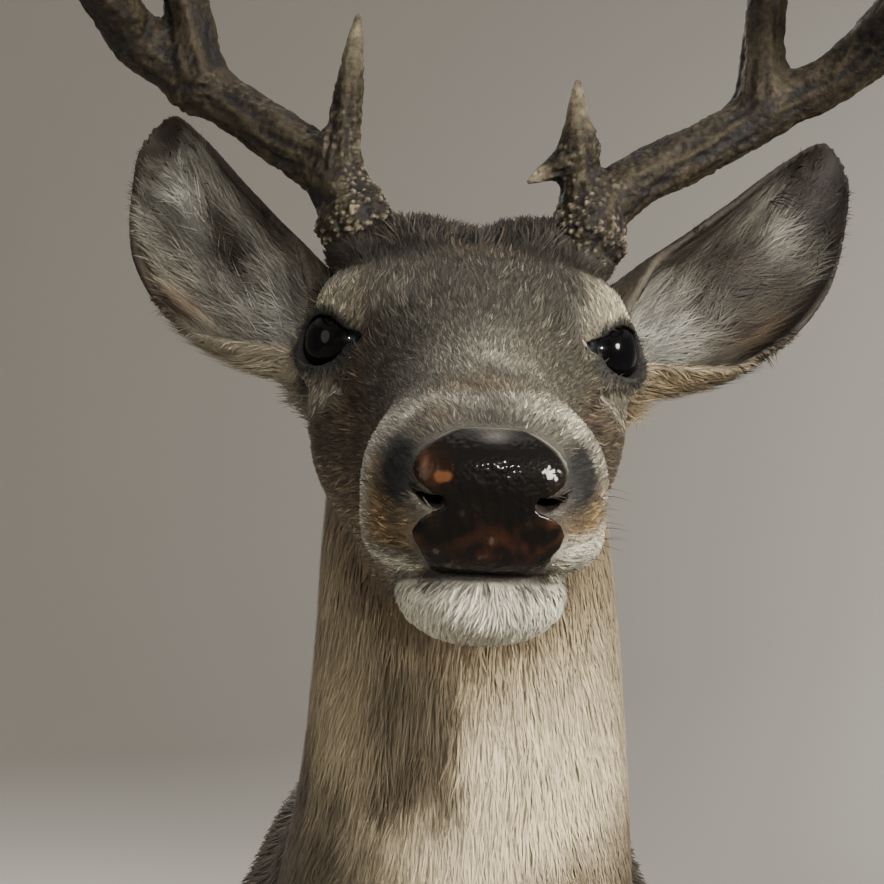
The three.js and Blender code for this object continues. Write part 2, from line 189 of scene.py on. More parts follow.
def ellipsoid(p, centre, radii):
    q = (p - np.asarray(centre, float)) / np.asarray(radii, float)
    k0 = np.linalg.norm(q, axis=-1)
    k1 = np.linalg.norm(q / np.asarray(radii, float), axis=-1)
    return k0 * (k0 - 1) / np.maximum(k1, 1e-6)


def capsule(p, a, b, radius):
    a, b = np.asarray(a, float), np.asarray(b, float)
    h = np.clip(((p - a) @ (b - a)) / ((b - a) @ (b - a)), 0, 1)
    return np.linalg.norm(p - a - h[..., None] * (b - a), axis=-1) - radius


def nostril(q):
    """A comma: round at its inner end, drawn out to a slit at the outer one."""
    a, b = np.array((16.0, 18.4)), np.array((23.4, 22.2))
    p = np.stack([np.abs(q[:, 0]), q[:, 2]], -1) - a
    h = np.clip(p @ (b - a) / ((b - a) @ (b - a)), 0, 1)
    sag = np.stack([0 * h, -1.2 * np.sin(np.pi * h)], -1)
    return np.linalg.norm(p - h[:, None] * (b - a) - sag, axis=-1) - (2.5 - 1.6 * h)


def head_tube(q, shape, front):
    s = q[:, 1]
    level, half = shape["level"](s), shape["half"](s)
    up, down = shape["top"](s) - level, level - shape["bottom"](s)
    body = oval_tube(q[:, 0], q[:, 2] - level, half, up, down, shape["square"](s), shape["square_low"](s))
    return smooth_max(body, front - s, 5.0) + shape["coat"](s)


def spine_table():
    """The station t along the spine of each point of a grid over y and z."""
    ys, zs = np.arange(-620, 61, 5.0), np.arange(-260, 561, 5.0)
    y, z = np.meshgrid(ys, zs, indexing="ij")
    ts = np.linspace(0, 8, 241)
    lean = np.radians(SPINE["lean"](ts))
    cy, cz = SPINE["y"](ts), SPINE["z"](ts)
    dy, dz = y[..., None] - cy, z[..., None] - cz
    ahead = -dy * np.cos(lean) + dz * np.sin(lean)
    crossing = (ahead[..., :-1] > 0) & (ahead[..., 1:] <= 0)
    off = np.where(crossing, np.hypot(dy, dz)[..., :-1], np.inf)
    i = np.argmin(off, -1)
    pick = lambda a, j: np.take_along_axis(a, j[..., None], -1)[..., 0]
    a0, a1 = pick(ahead, i), pick(ahead, i + 1)
    t = ts[i] + (ts[1] - ts[0]) * a0 / np.where(a0 == a1, 1, a0 - a1)
    none = ~crossing.any(-1)
    t = np.where(none, np.where(ahead[..., -1] > 0, 8.0, 0.0), t)
    return ys, zs, t


TABLE_Y, TABLE_Z, TABLE_T = spine_table()


def station(p):
    """Where a point is along the spine, and its place across and above it."""
    fy = np.clip((p[:, 1] - TABLE_Y[0]) / 5.0, 0, len(TABLE_Y) - 1.001)
    fz = np.clip((p[:, 2] - TABLE_Z[0]) / 5.0, 0, len(TABLE_Z) - 1.001)
    i, j = fy.astype(int), fz.astype(int)
    u, v = fy - i, fz - j
    t = (TABLE_T[i, j] * (1 - u) * (1 - v) + TABLE_T[i + 1, j] * u * (1 - v)
         + TABLE_T[i, j + 1] * (1 - u) * v + TABLE_T[i + 1, j + 1] * u * v)
    lean = np.radians(SPINE["lean"](t))
    rise = (p[:, 1] - SPINE["y"](t)) * np.sin(lean) + (p[:, 2] - SPINE["z"](t)) * np.cos(lean)
    return t, p[:, 0] - SPINE["x"](t), rise


def body_field(p):
    t, across, rise = station(p)
    f = oval_tube(across, rise, SPINE["half"](t), SPINE["nape"](t), SPINE["throat"](t), 2.15)
    lean = np.radians(SPINE["lean"](8.0))
    end = -(p[:, 1] - SPINE["y"](8.0)) * np.cos(lean) + (p[:, 2] - SPINE["z"](8.0)) * np.sin(lean)
    f = smooth_max(f, end, 14.0) + SPINE["coat"](t)
    return smooth_min(f, ellipsoid(mirrored(p), (78, -50, -50), (74, 76, 120)) + 8.0, 26.0)


def ear_axes(k):
    root = from_head((k * EAR_ROOT["out"], EAR_ROOT["s"], EAR_ROOT["w"]))
    tip = np.array(EAR_TIP[k])
    along = unit(tip - root)
    facing = np.array([k * 0.14, -1.0, -0.15])
    facing = unit(facing - along * (along @ facing))
    return root, along, facing, unit(np.cross(along, facing)) * k, np.linalg.norm(tip - root)


EARS = {k: ear_axes(k) for k in (1, -1)}


def ear_place(p, k):
    """A point in an ear's own measure: share of its length, angle and distance round the cup's axis."""
    root, along, facing, out, length = EARS[k]
    q = p - root
    t = q @ along / length
    inside = np.clip(t, 0, 1)
    wrap = np.radians(EAR["wrap"](inside))
    radius = EAR["half"](inside) / np.sin(np.minimum(wrap, np.pi / 2))
    a = q @ out - EAR_BOW * np.sin(np.pi * inside)
    o = q @ facing - (radius - EAR["depth"](inside))
    return t, np.arctan2(a, -o), np.hypot(a, o), wrap, radius, length


def ear_field(p, k):
    t, angle, r, wrap, radius, length = ear_place(p, k)
    half_thick = np.maximum(EAR_THICK * EAR["thick"](np.clip(t, 0, 1)) / 2 - 1.1, 1.25)
    middle = radius - EAR_THICK * EAR["thick"](np.clip(t, 0, 1)) / 2
    over = np.maximum(np.abs(angle) - wrap + 1.5 / radius, 0)
    chord = 2 * np.sqrt(middle * np.maximum(r, 1)) * np.sin(np.minimum(over, np.pi) / 2)
    cup = np.hypot(r - middle, chord) - half_thick
    past = np.maximum(np.maximum(t - 1, -0.1 - t), 0) * length
    return np.where(past > 0, np.hypot(np.maximum(cup, 0), past), cup)


def eye_frame(k):
    centre = EYE_AT * [k, 1, 1]
    gaze = unit(GAZE * [k, 1, 1])
    level = unit(np.cross([0, 0, 1.0], gaze))
    return centre, gaze, level, np.cross(level, gaze)


def bare_field(q):
    """The head's flesh before the eyes, nostrils and mouth are cut, in the head's frame."""
    s = q[:, 1]
    side = mirrored(q)
    f = head_tube(q, FACE, 0.0)
    chin = ellipsoid(q, (0, 35, -17), (27, 27, 15.5)) + 1.6
    jaw = smooth_min(head_tube(q, JAW, 10.0), chin, 7.0)
    blend = 2.0 + 14.0 * ramp(s, 80, 150)
    h = np.maximum(blend - np.abs(f - jaw), 0) / blend
    f = np.minimum(f, jaw) - h * h * blend / 4
    f = smooth_min(f, ellipsoid(side, (40, 204, 18), (28, 53, 46)) + 2.5, 16.0)  # cheek
    f = smooth_min(f, ellipsoid(side, (40, 200, 66), (26, 38, 17)) + 2.0, 12.0)  # brow
    f = smooth_min(f, ellipsoid(side, (58, 241, 40), (22, 20, 32)) + 2.5, 12.0)  # root of the ear
    f = smooth_min(f, ellipsoid(side, (47, 238, 88), (20, 24, 14)) + 2.5, 10.0)  # pedicle
    f = smooth_min(f, ellipsoid(q, (27, 232, 95), (17, 15, 8)), 9.0)  # the crown's ruffled hair
    f = smooth_min(f, ellipsoid(q, (-26, 230, 95), (19, 15, 7)), 9.0)
    f = smooth_max(f, -ellipsoid(side, (77, 224, 32), (8, 16, 10)), 14.0)  # hollow behind the eye
    f = smooth_max(f, -capsule(side, (54, 168, 36), (47, 140, 26), 2.6), 6.0)  # groove of the tear duct
    f = smooth_max(f, -ellipsoid(side, (47, 95, 34), (9, 34, 12)), 12.0)  # hollow beside the bridge
    return f


def lids(side):
    """The bulge of the lids over an eye."""
    centre, gaze, _, high = eye_frame(1)
    ball = np.linalg.norm(side - centre, axis=-1) - EYE["r"] - EYE["lid"]
    return smooth_min(ball, ellipsoid(side, centre + high * 4 + gaze * 2, (19.6, 19.6, 17.5)), 4.0)


def cut_field(f, q):
    """Cuts the mouth, nostrils and eyes, and sets the lids."""
    side = mirrored(q)
    centre, gaze, level, high = eye_frame(1)
    f = smooth_min(f, lids(side), LID_BLEND)
    local = np.stack([(side - centre) @ level, (side - centre) @ gaze, (side - centre) @ high], -1)
    gap = ellipsoid(local, (0, EYE["r"], -0.6), OPENING)
    corner = ellipsoid(local, (-15.0, EYE["r"] - 4.5, -3.5), (7.5, 6.0, 2.6))
    f = smooth_max(f, -smooth_min(gap, corner, 3.0), 1.6)
    f = np.maximum(f, -(np.linalg.norm(side - centre, axis=-1) - EYE["r"] - 0.25))
    slot = nostril(q) + 0.07 * np.maximum(q[:, 1], 0)
    f = smooth_max(f, -smooth_max(slot, q[:, 1] - 24, 2.0), 1.8)
    lip = np.abs(q[:, 2] - MOUTH_LINE(q[:, 1])) - 0.55
    return smooth_max(f, -np.maximum(np.maximum(lip, -f - 5.0), q[:, 1] - MOUTH_CORNER), 1.4)


def by_head(q, limits):
    """Which points are near enough to the head for its shapes to count."""
    half, front, low, high = limits
    x, s, w = q.T
    return (np.abs(x) < half) & (s > front) & (s < HEAD_END) & (w > low) & (w < high)


def skin_field(p):
    f = body_field(p)
    q = to_head(p)
    head = by_head(q, (120, -40, -120, 150))
    if head.any():
        part = smooth_min(bare_field(q[head]), f[head], HEAD_BLEND)
        f[head] = cut_field(part, q[head])
    for k in (1, -1):
        close = (p[:, 0] * k > 40) & (p[:, 2] > 290) & (p[:, 1] > -330) & (p[:, 1] < -180)
        if close.any():
            f[close] = smooth_min(f[close], ear_field(p[close], k), EAR_BLEND)
    return smooth_max(f, p[:, 1] + 0.6, 5.0)


def pad_field(p):
    """The bare nose pad, standing a little proud of the skin round it."""
    q = to_head(p)
    f = bare_field(q) - 0.75
    edge = (np.abs(q[:, 0]) - PAD_HALF(q[:, 2])) * 0.8
    f = smooth_max(f, smooth_max(edge, q[:, 2] - 40.5, 3.0), 2.4)
    f = smooth_max(f, MOUTH_LINE(q[:, 1]) + 0.6 - q[:, 2], 2.0)
    f = smooth_max(f, -nostril(q), 1.6)
    return smooth_max(f, q[:, 1] - PAD_BACK, 1.5)


# ---- Contouring ----
def gradient(field, p, step=0.25):
    out = np.empty_like(p)
    for i in range(3):
        d = np.zeros(3)
        d[i] = step
        out[:, i] = (in_pieces(field, p + d) - in_pieces(field, p - d)) / (2 * step)
    return out


def in_pieces(field, p, size=120_000):
    return np.concatenate([field(p[i:i + size]) for i in range(0, len(p), size)])


def contour(field, xs, ys, zs, block=8, slack=1.25):
    """Points and quads of the surface field = 0 over a grid of lines, worked out only near the surface."""
    lines = (xs, ys, zs)
    starts = [np.arange(0, len(a) - 1, block) for a in lines]
    ends = [np.minimum(s + block, len(a) - 1) for a, s in zip(lines, starts)]
    mids = [(a[s] + a[e]) / 2 for a, s, e in zip(lines, starts, ends)]
    halves = [(a[e] - a[s]) / 2 for a, s, e in zip(lines, starts, ends)]
    centres = np.stack(np.meshgrid(*mids, indexing="ij"), -1)
    reach = np.linalg.norm(np.stack(np.meshgrid(*halves, indexing="ij"), -1), axis=-1)
    coarse = in_pieces(field, centres.reshape(-1, 3)).reshape(reach.shape)
    value = np.full([len(a) for a in lines], 1e3, np.float32)
    need = np.zeros(value.shape, bool)
    far = np.abs(coarse) >= reach * slack
    for array, blocks, filling in ((value, far & (coarse < 0), -1e3), (need, ~far, True)):
        for at in np.argwhere(blocks):
            array[tuple(slice(a * block, (a + 1) * block + 1) for a in at)] = filling
    i, j, k = np.nonzero(need)
    value[i, j, k] = in_pieces(field, np.stack([xs[i], ys[j], zs[k]], -1))
    inside = value < 0
    cells, places, quads = [], [], []
    for axis in range(3):
        others = [a for a in range(3) if a != axis]
        low, high = [slice(1, -1)] * 3, [slice(1, -1)] * 3
        low[axis], high[axis] = slice(0, -1), slice(1, None)
        at = np.argwhere(inside[tuple(low)] != inside[tuple(high)])
        at[:, others] += 1
        past = at.copy()
        past[:, axis] += 1
        v0, v1 = (value[tuple(ends.T)].astype(float) for ends in (at, past))
        place = np.stack([lines[a][at[:, a]] for a in range(3)], -1)
        place[:, axis] += (lines[axis][past[:, axis]] - place[:, axis]) * v0 / (v0 - v1)
        around = []
        for back in ((0, 0), (1, 0), (1, 1), (0, 1)):
            cell = at.copy()
            cell[:, others] -= back
            around.append(np.ravel_multi_index(cell.T, value.shape))
        cells += around
        places += [place] * 4
        around = np.stack(around, -1)
        flip = (v0 < 0) != (axis != 1)
        quads.append(np.where(flip[:, None], around[:, ::-1], around))
    places = np.concatenate(places)
    ids, where = np.unique(np.concatenate(cells), return_inverse=True)
    points = np.stack([np.bincount(where, places[:, a]) for a in range(3)], -1) / np.bincount(where)[:, None]
    for _ in range(2):
        f, g = in_pieces(field, points), gradient(field, points)
        move = -f[:, None] * g / np.maximum((g * g).sum(-1), 0.2)[:, None]
        points += np.clip(move, -0.9, 0.9)
    return points, np.searchsorted(ids, np.concatenate(quads))


def mesh_object(name, points, faces, material, colours=None):
    """A mesh object in metres from points in mm and an (n, 3) or (n, 4) array of faces."""
    mesh = bpy.data.meshes.new(name)
    mesh.vertices.add(len(points))
    mesh.vertices.foreach_set("co", (np.asarray(points, np.float32) * MM).ravel())
    n, sides = faces.shape
    mesh.loops.add(n * sides)
    mesh.loops.foreach_set("vertex_index", faces.astype(np.int32).ravel())
    mesh.polygons.add(n)
    mesh.polygons.foreach_set("loop_start", np.arange(0, n * sides, sides, dtype=np.int32))
    mesh.polygons.foreach_set("use_smooth", np.ones(n, bool))
    mesh.update(calc_edges=True)
    mesh.validate()
    if colours is not None:
        rgba = np.ones((len(points), 4), np.float32)
        rgba[:, :3] = colours
        mesh.color_attributes.new("Coat", "FLOAT_COLOR", "POINT").data.foreach_set("color", rgba.ravel())
    mesh.materials.append(material)
    piece = bpy.data.objects.new(name, mesh)
    bpy.context.collection.objects.link(piece)
    return piece


def patch_map(piece, uvs, faces):
    """The map that the coat's colours are baked to: each hair is a small patch at its root's place."""
    layer = piece.data.uv_layers.new(name="OFBake")
    layer.data.foreach_set("uv", uvs[faces.ravel()].astype(np.float32).ravel())


def grid_quads(rows, around):
    """The quads between rings of points that close on themselves."""
    i, j = np.meshgrid(np.arange(rows - 1), np.arange(around), indexing="ij")
    a, b = i * around + j, i * around + (j + 1) % around
    return np.stack([a, b, b + around, a + around], -1).reshape(-1, 4)


def lines_of(*spans):
    """Grid lines through (start, end, spacing) spans."""
    return np.concatenate([np.arange(a, b - 0.4 * step, step) for a, b, step in spans])


def vertex_normals(points, quads):
    a = points[quads[:, 2]] - points[quads[:, 0]]
    b = points[quads[:, 3]] - points[quads[:, 1]]
    face = np.cross(a, b)
    out = np.zeros_like(points)
    for corner in quads.T:
        for i in range(3):
            out[:, i] += np.bincount(corner, face[:, i], len(points))
    return unit(out)


# ---- Markings ----
PALETTE = {
    "grey": (0.056, 0.051, 0.038), "dark": (0.036, 0.030, 0.022), "rufous": (0.050, 0.027, 0.015),
    "pale": (0.39, 0.36, 0.285), "cheek": (0.058, 0.042, 0.026), "tan": (0.20, 0.13, 0.058),
    "soot": (0.020, 0.020, 0.018), "white": (0.52, 0.49, 0.395), "cream": (0.40, 0.35, 0.25),
    "fawn": (0.31, 0.25, 0.155), "throat": (0.69, 0.585, 0.395), "umber": (0.10, 0.070, 0.043),
    "bark": (0.060, 0.045, 0.029), "shoulder": (0.075, 0.061, 0.043), "ear": (0.10, 0.084, 0.06),
    "rim": (0.032, 0.023, 0.015), "ear_hair": (0.42, 0.41, 0.36), "ear_mid": (0.145, 0.137, 0.112),
}
PALETTE = {name: np.array(c) for name, c in PALETTE.items()}
WAVES = {size: (RNG.normal(size=(14, 3)) / size, RNG.uniform(0, 6.28, 14)) for size in (2.5, 6.0, 14.0, 40.0)}


def patches(p, size):
    """Smooth noise from about -1 to 1 over points in mm, of about this wavelength."""
    waves, phase = WAVES[size]
    return np.sin(p @ (waves.T * 2.2) + phase).sum(-1) / 5.3


def over(colour, mask, tone):
    """A tone laid over the colour by a mask."""
    mask = np.clip(mask, 0, 1)[:, None]
    return colour * (1 - mask) + tone * mask


def laid(colour, steps):
    """Tones of the palette laid over the colour in turn."""
    for name, mask in steps:
        colour = over(colour, mask, PALETTE[name])
    return colour


def spot(a, b, middle, radii):
    """A soft oval spot over two coordinates."""
    return np.exp(-(((a - middle[0]) / radii[0]) ** 2 + ((b - middle[1]) / radii[1]) ** 2))


def surroundings(p):
    """What part of the animal each point is on."""
    q = to_head(p)
    t, across, rise = station(p)
    body = body_field(p)
    head = np.full(len(p), 1e3)
    close = (q[:, 1] < HEAD_END) & (q[:, 1] > -60) & (np.abs(q[:, 0]) < 150)
    head[close] = bare_field(q[close])
    place = {"q": q, "t": t, "round": np.arctan2(across, rise), "on_head": ramp(body - head, -14, 14),
             "head_tone": ramp(body - head, -34, 10)}
    nearest = np.minimum(body, head)
    for k in (1, -1):
        ear = ear_field(p, k)
        u, angle, r, wrap, radius, _ = ear_place(p, k)
        inner = r < radius - EAR_THICK * EAR["thick"](np.clip(u, 0, 1)) / 2
        place[k] = {"on": ramp(nearest - ear, -4, 5), "u": u, "angle": angle, "edge": np.abs(angle) / wrap,
                    "inner": inner & (np.abs(angle) < wrap)}
    place["on_ear"] = np.maximum(place[1]["on"], place[-1]["on"])
    return place


def ear_markings(u, across, inner, noise, wide, k):
    """An ear's colours: u runs from root to tip, across from its upper rim at -1 to its lower one at 1."""
    edge = np.abs(across)
    start = np.where(across > 0, 0.7 if k < 0 else 0.64, 0.82)
    tip = 0.8 if k < 0 else 0.64
    rim = ramp(edge + 0.05 * noise - start, 0, 0.13) * ramp(u, 0.15, 0.32)
    rim = np.clip(rim + ramp(u + 0.05 * noise, tip, tip + 0.14), 0, 1)
    streak, dark = (0.95, 0.1) if k < 0 else (0.62, 0.25)
    inside = [("ear_hair", near(across + 0.5 * (u - 0.68), 0.02, 0.17) * near(u, 0.69, 0.14) * streak),
              ("ear_hair", (1 - ramp(u, 0.28, 0.5)) * near(across, 0.0, 0.5) * (0.7 + 0.3 * noise)
               * (0.62 if k < 0 else 1.0)),
              ("ear_hair", near(across, -0.55, 0.2) * near(u, 0.55, 0.16) * (0.5 + 0.4 * noise)),
              ("rim", np.clip(0.75 * noise + 0.45 * wide + dark, 0, 0.88) * ramp(u, 0.18, 0.36)),
              ("rim", near(across + 0.6 * (u - 0.45), -0.12, 0.18) * near(u, 0.45, 0.14) * 1.2),
              # Painted shade: a dark strip just inside the upper rim, where the rim shades the cup.
              ("rim", near(across, -0.68, 0.11) * near(u, 0.34, 0.2) * 0.8),
              ("umber", near(across, 0.62, 0.24) * near(u, 0.3, 0.15) * 0.85),
              ("rim", rim)]
    outside = [("rim", ramp(u, 0.6, 1.0) * 0.5), ("rim", rim * 0.95),
               ("cream" if k < 0 else "fawn", (1 - ramp(u, 0.08, 0.4)) * ramp(across, -0.3, 0.4) * 0.8)]
    varied = 1 + 0.2 * noise[:, None]
    # Painted light and shade: the inside of the buck's right ear (k < 0) is painted lighter, and the inside
    # of his left ear (k > 0) darker, most of all at its rim.
    shade = 1.36 if k < 0 else 0.68 * (1 - 0.3 * rim[:, None])
    return np.where(inner[:, None], laid(PALETTE["ear_mid"] * varied, inside) * shade,
                    laid(PALETTE["ear"] * varied, outside))


def head_markings(place, noise, wide):
    """The head's colours, from the tones that lie under to those that lie over them."""
    q = place["q"]
    x, s, w = q.T
    ax = np.abs(x)
    colour = np.repeat(PALETTE["grey"][None], len(q), 0)

    def lay(name, mask, shade=1.0):
        nonlocal colour
        colour = over(colour, mask, PALETTE[name] * shade)

    high = ramp(w - FACE["level"](s), 0, 22)
    lay("cheek", (1 - high) * ramp(s, 60, 110) * 0.85)
    lay("umber", (1 - ramp(w, -14, 8)) * ramp(s, 110, 150) * 0.7, 1.6)
    lay("dark", near(x, 0, 34) * near(s, 150, 34) * high * 0.32 + noise * 0.1)  # between the eyes
    lay("dark", ramp(s, 190, 216) * high * (0.9 + 0.2 * noise))  # crown
    lay("rufous", ramp(s, 205, 232) * high * np.clip(0.45 + 0.7 * noise + 0.3 * wide, 0, 0.8))
    lay("dark", (near(x, 28, 15) + near(x, -22, 13)) * near(s, 209, 14) * high * (0.6 + 0.3 * noise))
    lay("dark", ramp(s, 188, 208) * high * 0.75, 0.6)
    # Painted highlight: a lighter band across the curl of hair on the crown.
    lay("umber", near(x, 2, 12) * near(s, 204, 6) * high * 0.5, 1.4)
    lay("rufous", near(x, -45, 7) * near(s, 160, 26) * ramp(w, 10, 30) * (0.45 + 0.3 * noise))

    lay("pale", near(x, 0, 22) * near(s, 96, 30) * high * (0.4 + 0.25 * noise))  # bridge
    band = near(s + 0.25 * ax + 2.5 * noise, 42, 17) * ramp(w, 2, 16)  # round the muzzle
    band *= 1 - ramp(ax, 29, 37) * (1 - ramp(w, 34, 44)) * np.where(x > 0, 0.75, 0.3)
    lay("pale", band * (0.68 + 0.2 * noise + 0.2 * ramp(x, 2, 14)) * (1 - 0.4 * near(x, 1, 9)))
    lay("pale", near(x, -34, 8) * near(s, 46, 16) * ramp(w, 18, 32) * 0.45)
    lay("umber", spot(x, s, (-2, 56), (17, 13)) * high * 0.95)
    lay("umber", near(x, -17, 9) * near(s, 25, 8) * high * (0.65 + 0.3 * noise))
    fade = np.where(x > 0, 0.8 * ramp(w, 5, 13), 0.5 * ramp(w, 15, 24))
    lay("pale", near(ax, 39, 8) * near(s, 34, 16) * ramp(w, -12, 0) * 0.8 * (1 - fade))
    height = np.where(x < 0, ramp(w, -2, 5) * (1 - ramp(w, 24, 35)), near(w, 12, 8))
    lay("tan", near(ax, 32.5, 5.5) * height * ramp(-s, -38, -24), 0.9)
    lay("tan", near(ax, 25, 4) * near(w, 9, 8) * ramp(-s, -22, -12) * 0.6)
    lay("soot", spot(ax, w, (27.5, 26), (6, 11)) * ramp(-s, -30, -17) * 1.6, 0.5)  # beside the nose

    lay("white", ramp(8 * ramp(x, -10, 20) - w, -3, 5) * ramp(ax, 16, 24) * (1 - ramp(s, 40, 75)) * 0.95)
    below = w - MOUTH_LINE(s)
    lay("white", (1 - ramp(below, -3, -1)) * (1 - ramp(s, 66, 105)) * (1 - ramp(ax, 26, 36)))  # chin
    under = (1 - ramp(below, -14, -6)) * ramp(s, 60, 100) * (1 - ramp(s, 170, 215))
    lay("white", under * near(x, 0, 26) * 0.75)
    lay("soot", near(x, -4, 9) * near(s, 30, 16) * near(w, -31, 5) * (0.8 + 0.4 * noise))
    lay("dark", near(ax, 29, 5) * near(w, -20, 9) * ramp(s, 24, 44) * 0.85)
    corner = spot(ax, below, (32, -3), (10, 6)) * ramp(s, 22, 38) * ramp(ax, 20, 27) * 1.6
    lay("soot", corner * (1 - ramp(s, 96, 118)) * 0.95)
    lay("dark", np.exp(-(below / 1.8) ** 2) * (1 - ramp(s, 96, 112)) * 0.8 * ramp(ax, 0, 6))

    eye = mirrored(q) - EYE_AT
    reach = np.linalg.norm(eye, axis=-1)
    brow = (1 - ramp(reach + 3 * noise, 21, 36)) * ramp(eye[:, 2] + 2 * noise, 2, 15)
    lay("cream", brow * ramp(ax + 4 * noise, 38, 56) * np.where(x > 0, 0.9, 0.62))
    lay("cream", near(reach, 24, 4) * ramp(eye[:, 2], -8, 2) * (1 - ramp(ax, 44, 52)) * (x > 0) * 0.55)
    lay("pale", (1 - ramp(reach, 24, 38)) * ramp(-eye[:, 2], 4, 18) * 0.4)
    duct = np.linalg.norm(eye - [-6, -22, -8], axis=-1)
    lay("soot", (1 - ramp(duct, 4.5, 12)) * 0.85)
    _, gaze, level, upward = eye_frame(1)
    ahead, aside, above = eye @ gaze, eye @ level, eye @ upward
    ring = np.hypot(aside / OPENING[0], (above + 0.6) / OPENING[2])  # 1 along the lid margin
    lay("soot", (1 - ramp(ring, 1.1, 1.4)) * ramp(ahead, 2, 7) * (reach < 27) * 0.95, 0.6)
    lay("soot", near(aside, 16.5, 4) * near(above, 3, 5) * ramp(ahead, -6, 2) * (reach < 27) * 0.9, 0.6)
    lay("pale", ramp(s, 212, 236) * (1 - high) * ramp(w, -20, 20) * 0.5)
    lay("tan", near(s, 228, 20) * near(w, 6, 22) * (x > 0) * (0.92 + 0.3 * noise), 1.3)  # under the ear
    return colour


def body_markings(p, place, noise):
    """The colours of the neck and shoulders; the dark patch on the throat lies to the buck's right, partly
    his own dark hair and partly the chin's cast shadow painted in, and the low front on his right side is
    darkened as painted shade.
    """
    t, angle = place["t"], np.degrees(place["round"])
    side_on = np.abs(angle)  # 0 along the back, 180 down the front
    front = ramp(side_on, 88, 132)
    across = p[:, 0] + 2.5 * noise
    rough_t, ragged_t = t + 0.2 * noise, t + 0.3 * noise
    # Painted shadow: the chin's shadow cast on the throat, on the buck's right, is laid in the dark bark tone
    # together with the throat's own dark hair.
    shadow = ramp(across, -50, -28) * (1 - ramp(across, -3, 5)) * ramp(rough_t, 4.2, 4.6)
    shadow = shadow * (1 - 0.7 * ramp(t, 5.45, 5.85))
    steps = [("shoulder", ramp(-t, -4.2, -2.4) * (1 - front)),
             ("fawn", ramp(side_on, 66, 104) * ramp(t, 2.5, 3.1)),
             ("throat", front * (1 - ramp(ragged_t, 4.8, 6.2)) * ramp(t, 1.6, 2.6)
              * (0.4 + 0.5 * ramp(across, -45, 5))),
             ("fawn", near(ragged_t, 2.9, 0.35) * near(p[:, 0], -40, 30) * front * 0.5),
             ("bark", shadow * ramp(side_on, 125, 150) * (0.85 + 0.2 * noise)),
             ("umber", near(angle, -98, 15) * ramp(t, 3.6, 4.3) * 0.6),
             ("umber", (1 - ramp(ragged_t, 3.9, 4.35)) * ramp(across, 5, 45) * 0.75),
             # Painted shade: the dark shoulder tone carried forward over the low front on the buck's right
             # side, where it lies in shade.
             ("shoulder", (1 - ramp(rough_t, 4.0, 4.6)) * (1 - ramp(across, -55, -12)) * 0.85),
             ("shoulder", (1 - ramp(rough_t, 2.6, 3.3)) * (1 - ramp(side_on, 118, 142)) * 0.95),
             ("shoulder", (1 - ramp(t, 0.7, 1.8)) * 0.7),
             ("dark", near(angle, 0, 26) * ramp(t, 2, 4) * 0.5)]
    body = laid(np.repeat(PALETTE["umber"][None], len(p), 0), steps)
    body = body * (1 - 0.32 * (ramp(across, 40, 90) * (1 - ramp(t, 3.6, 4.6)))[:, None])
    return body * (1 + 0.16 * noise[:, None])


def markings(p, place):
    """The coat's colour at each point, for the skin and for the roots of the tufts."""
    noise = patches(p, 14.0) * 0.5 + patches(p, 6.0) * 0.35
    wide = patches(p, 40.0)
    on_head = place["head_tone"][:, None]
    colour = head_markings(place, noise, wide) * on_head + body_markings(p, place, noise) * (1 - on_head)
    for k in (1, -1):
        ear = place[k]
        tone = ear_markings(ear["u"], ear["edge"] * np.sign(ear["angle"]), ear["inner"], noise, wide, k)
        on = ear["on"][:, None]
        colour = colour * (1 - on) + tone * on
    return np.clip(colour, 0.004, 0.9)


# ---- Lie of the coat ----
def lie(n, place):
    """The way the hair points at each root, along the skin."""
    q = place["q"]
    x, s, w = q.T
    nose_on = np.exp(-np.maximum(s, 0) / 26)
    back = np.stack([x * (0.006 + 0.08 * nose_on), 0.35 + 0.65 * (1 - nose_on),
                     (w - 14) * (0.004 + 0.08 * nose_on)], -1)
    under = ramp(-w, 2, 20) * (1 - ramp(s, 60, 120))
    back[:, 2] -= under * 1.2
    side = np.sign(x)
    eye = np.stack([x - side * EYE["out"], s - EYE["s"], w - EYE["w"]], -1)
    reach = np.linalg.norm(eye, axis=-1, keepdims=True)
    gaze = unit(GAZE * np.stack([side, side * side, side * side], -1) + 1e-9)
    outward = eye - gaze * (eye * gaze).sum(-1, keepdims=True)
    back += unit(eye) * (1.1 * (1 - ramp(reach, 20, 44))) + unit(outward) * (1.5 * (1 - ramp(reach, 20, 36)))
    head = back @ HEAD_TURN.T
    lean = np.radians(SPINE["lean"](place["t"]))
    down = np.stack([0.10 * np.sin(place["round"]), np.cos(lean), -np.sin(lean) - 0.15], -1)
    on_head = ramp(place["on_head"], 0.2, 0.8)[:, None]
    way = unit(head) * on_head + unit(down) * (1 - on_head)
    for k in (1, -1):
        _, along, facing, out, _ = EARS[k]
        ear = place[k]
        inward = (1 - 1.1 * ramp(ear["edge"], 0.5, 0.9)) * (1 - ramp(ear["u"], 0.85, 0.95))
        spread = np.where(ear["inner"], 0.6 * inward, 0.1) * np.sin(np.clip(ear["angle"], -2.2, 2.2))
        over = (1 - ramp(ear["u"], 0.25, 0.5)) * ramp(ear["edge"], 0.25, 0.6) * (ear["angle"] > 0) * 1.5
        fan = along + out * (spread + over)[:, None] + facing * np.where(ear["inner"], 0.35, 0.0)[:, None]
        on = ear["on"][:, None]
        way = way * (1 - on) + unit(fan) * on
    way -= n * (way * n).sum(-1, keepdims=True)
    return unit(way)


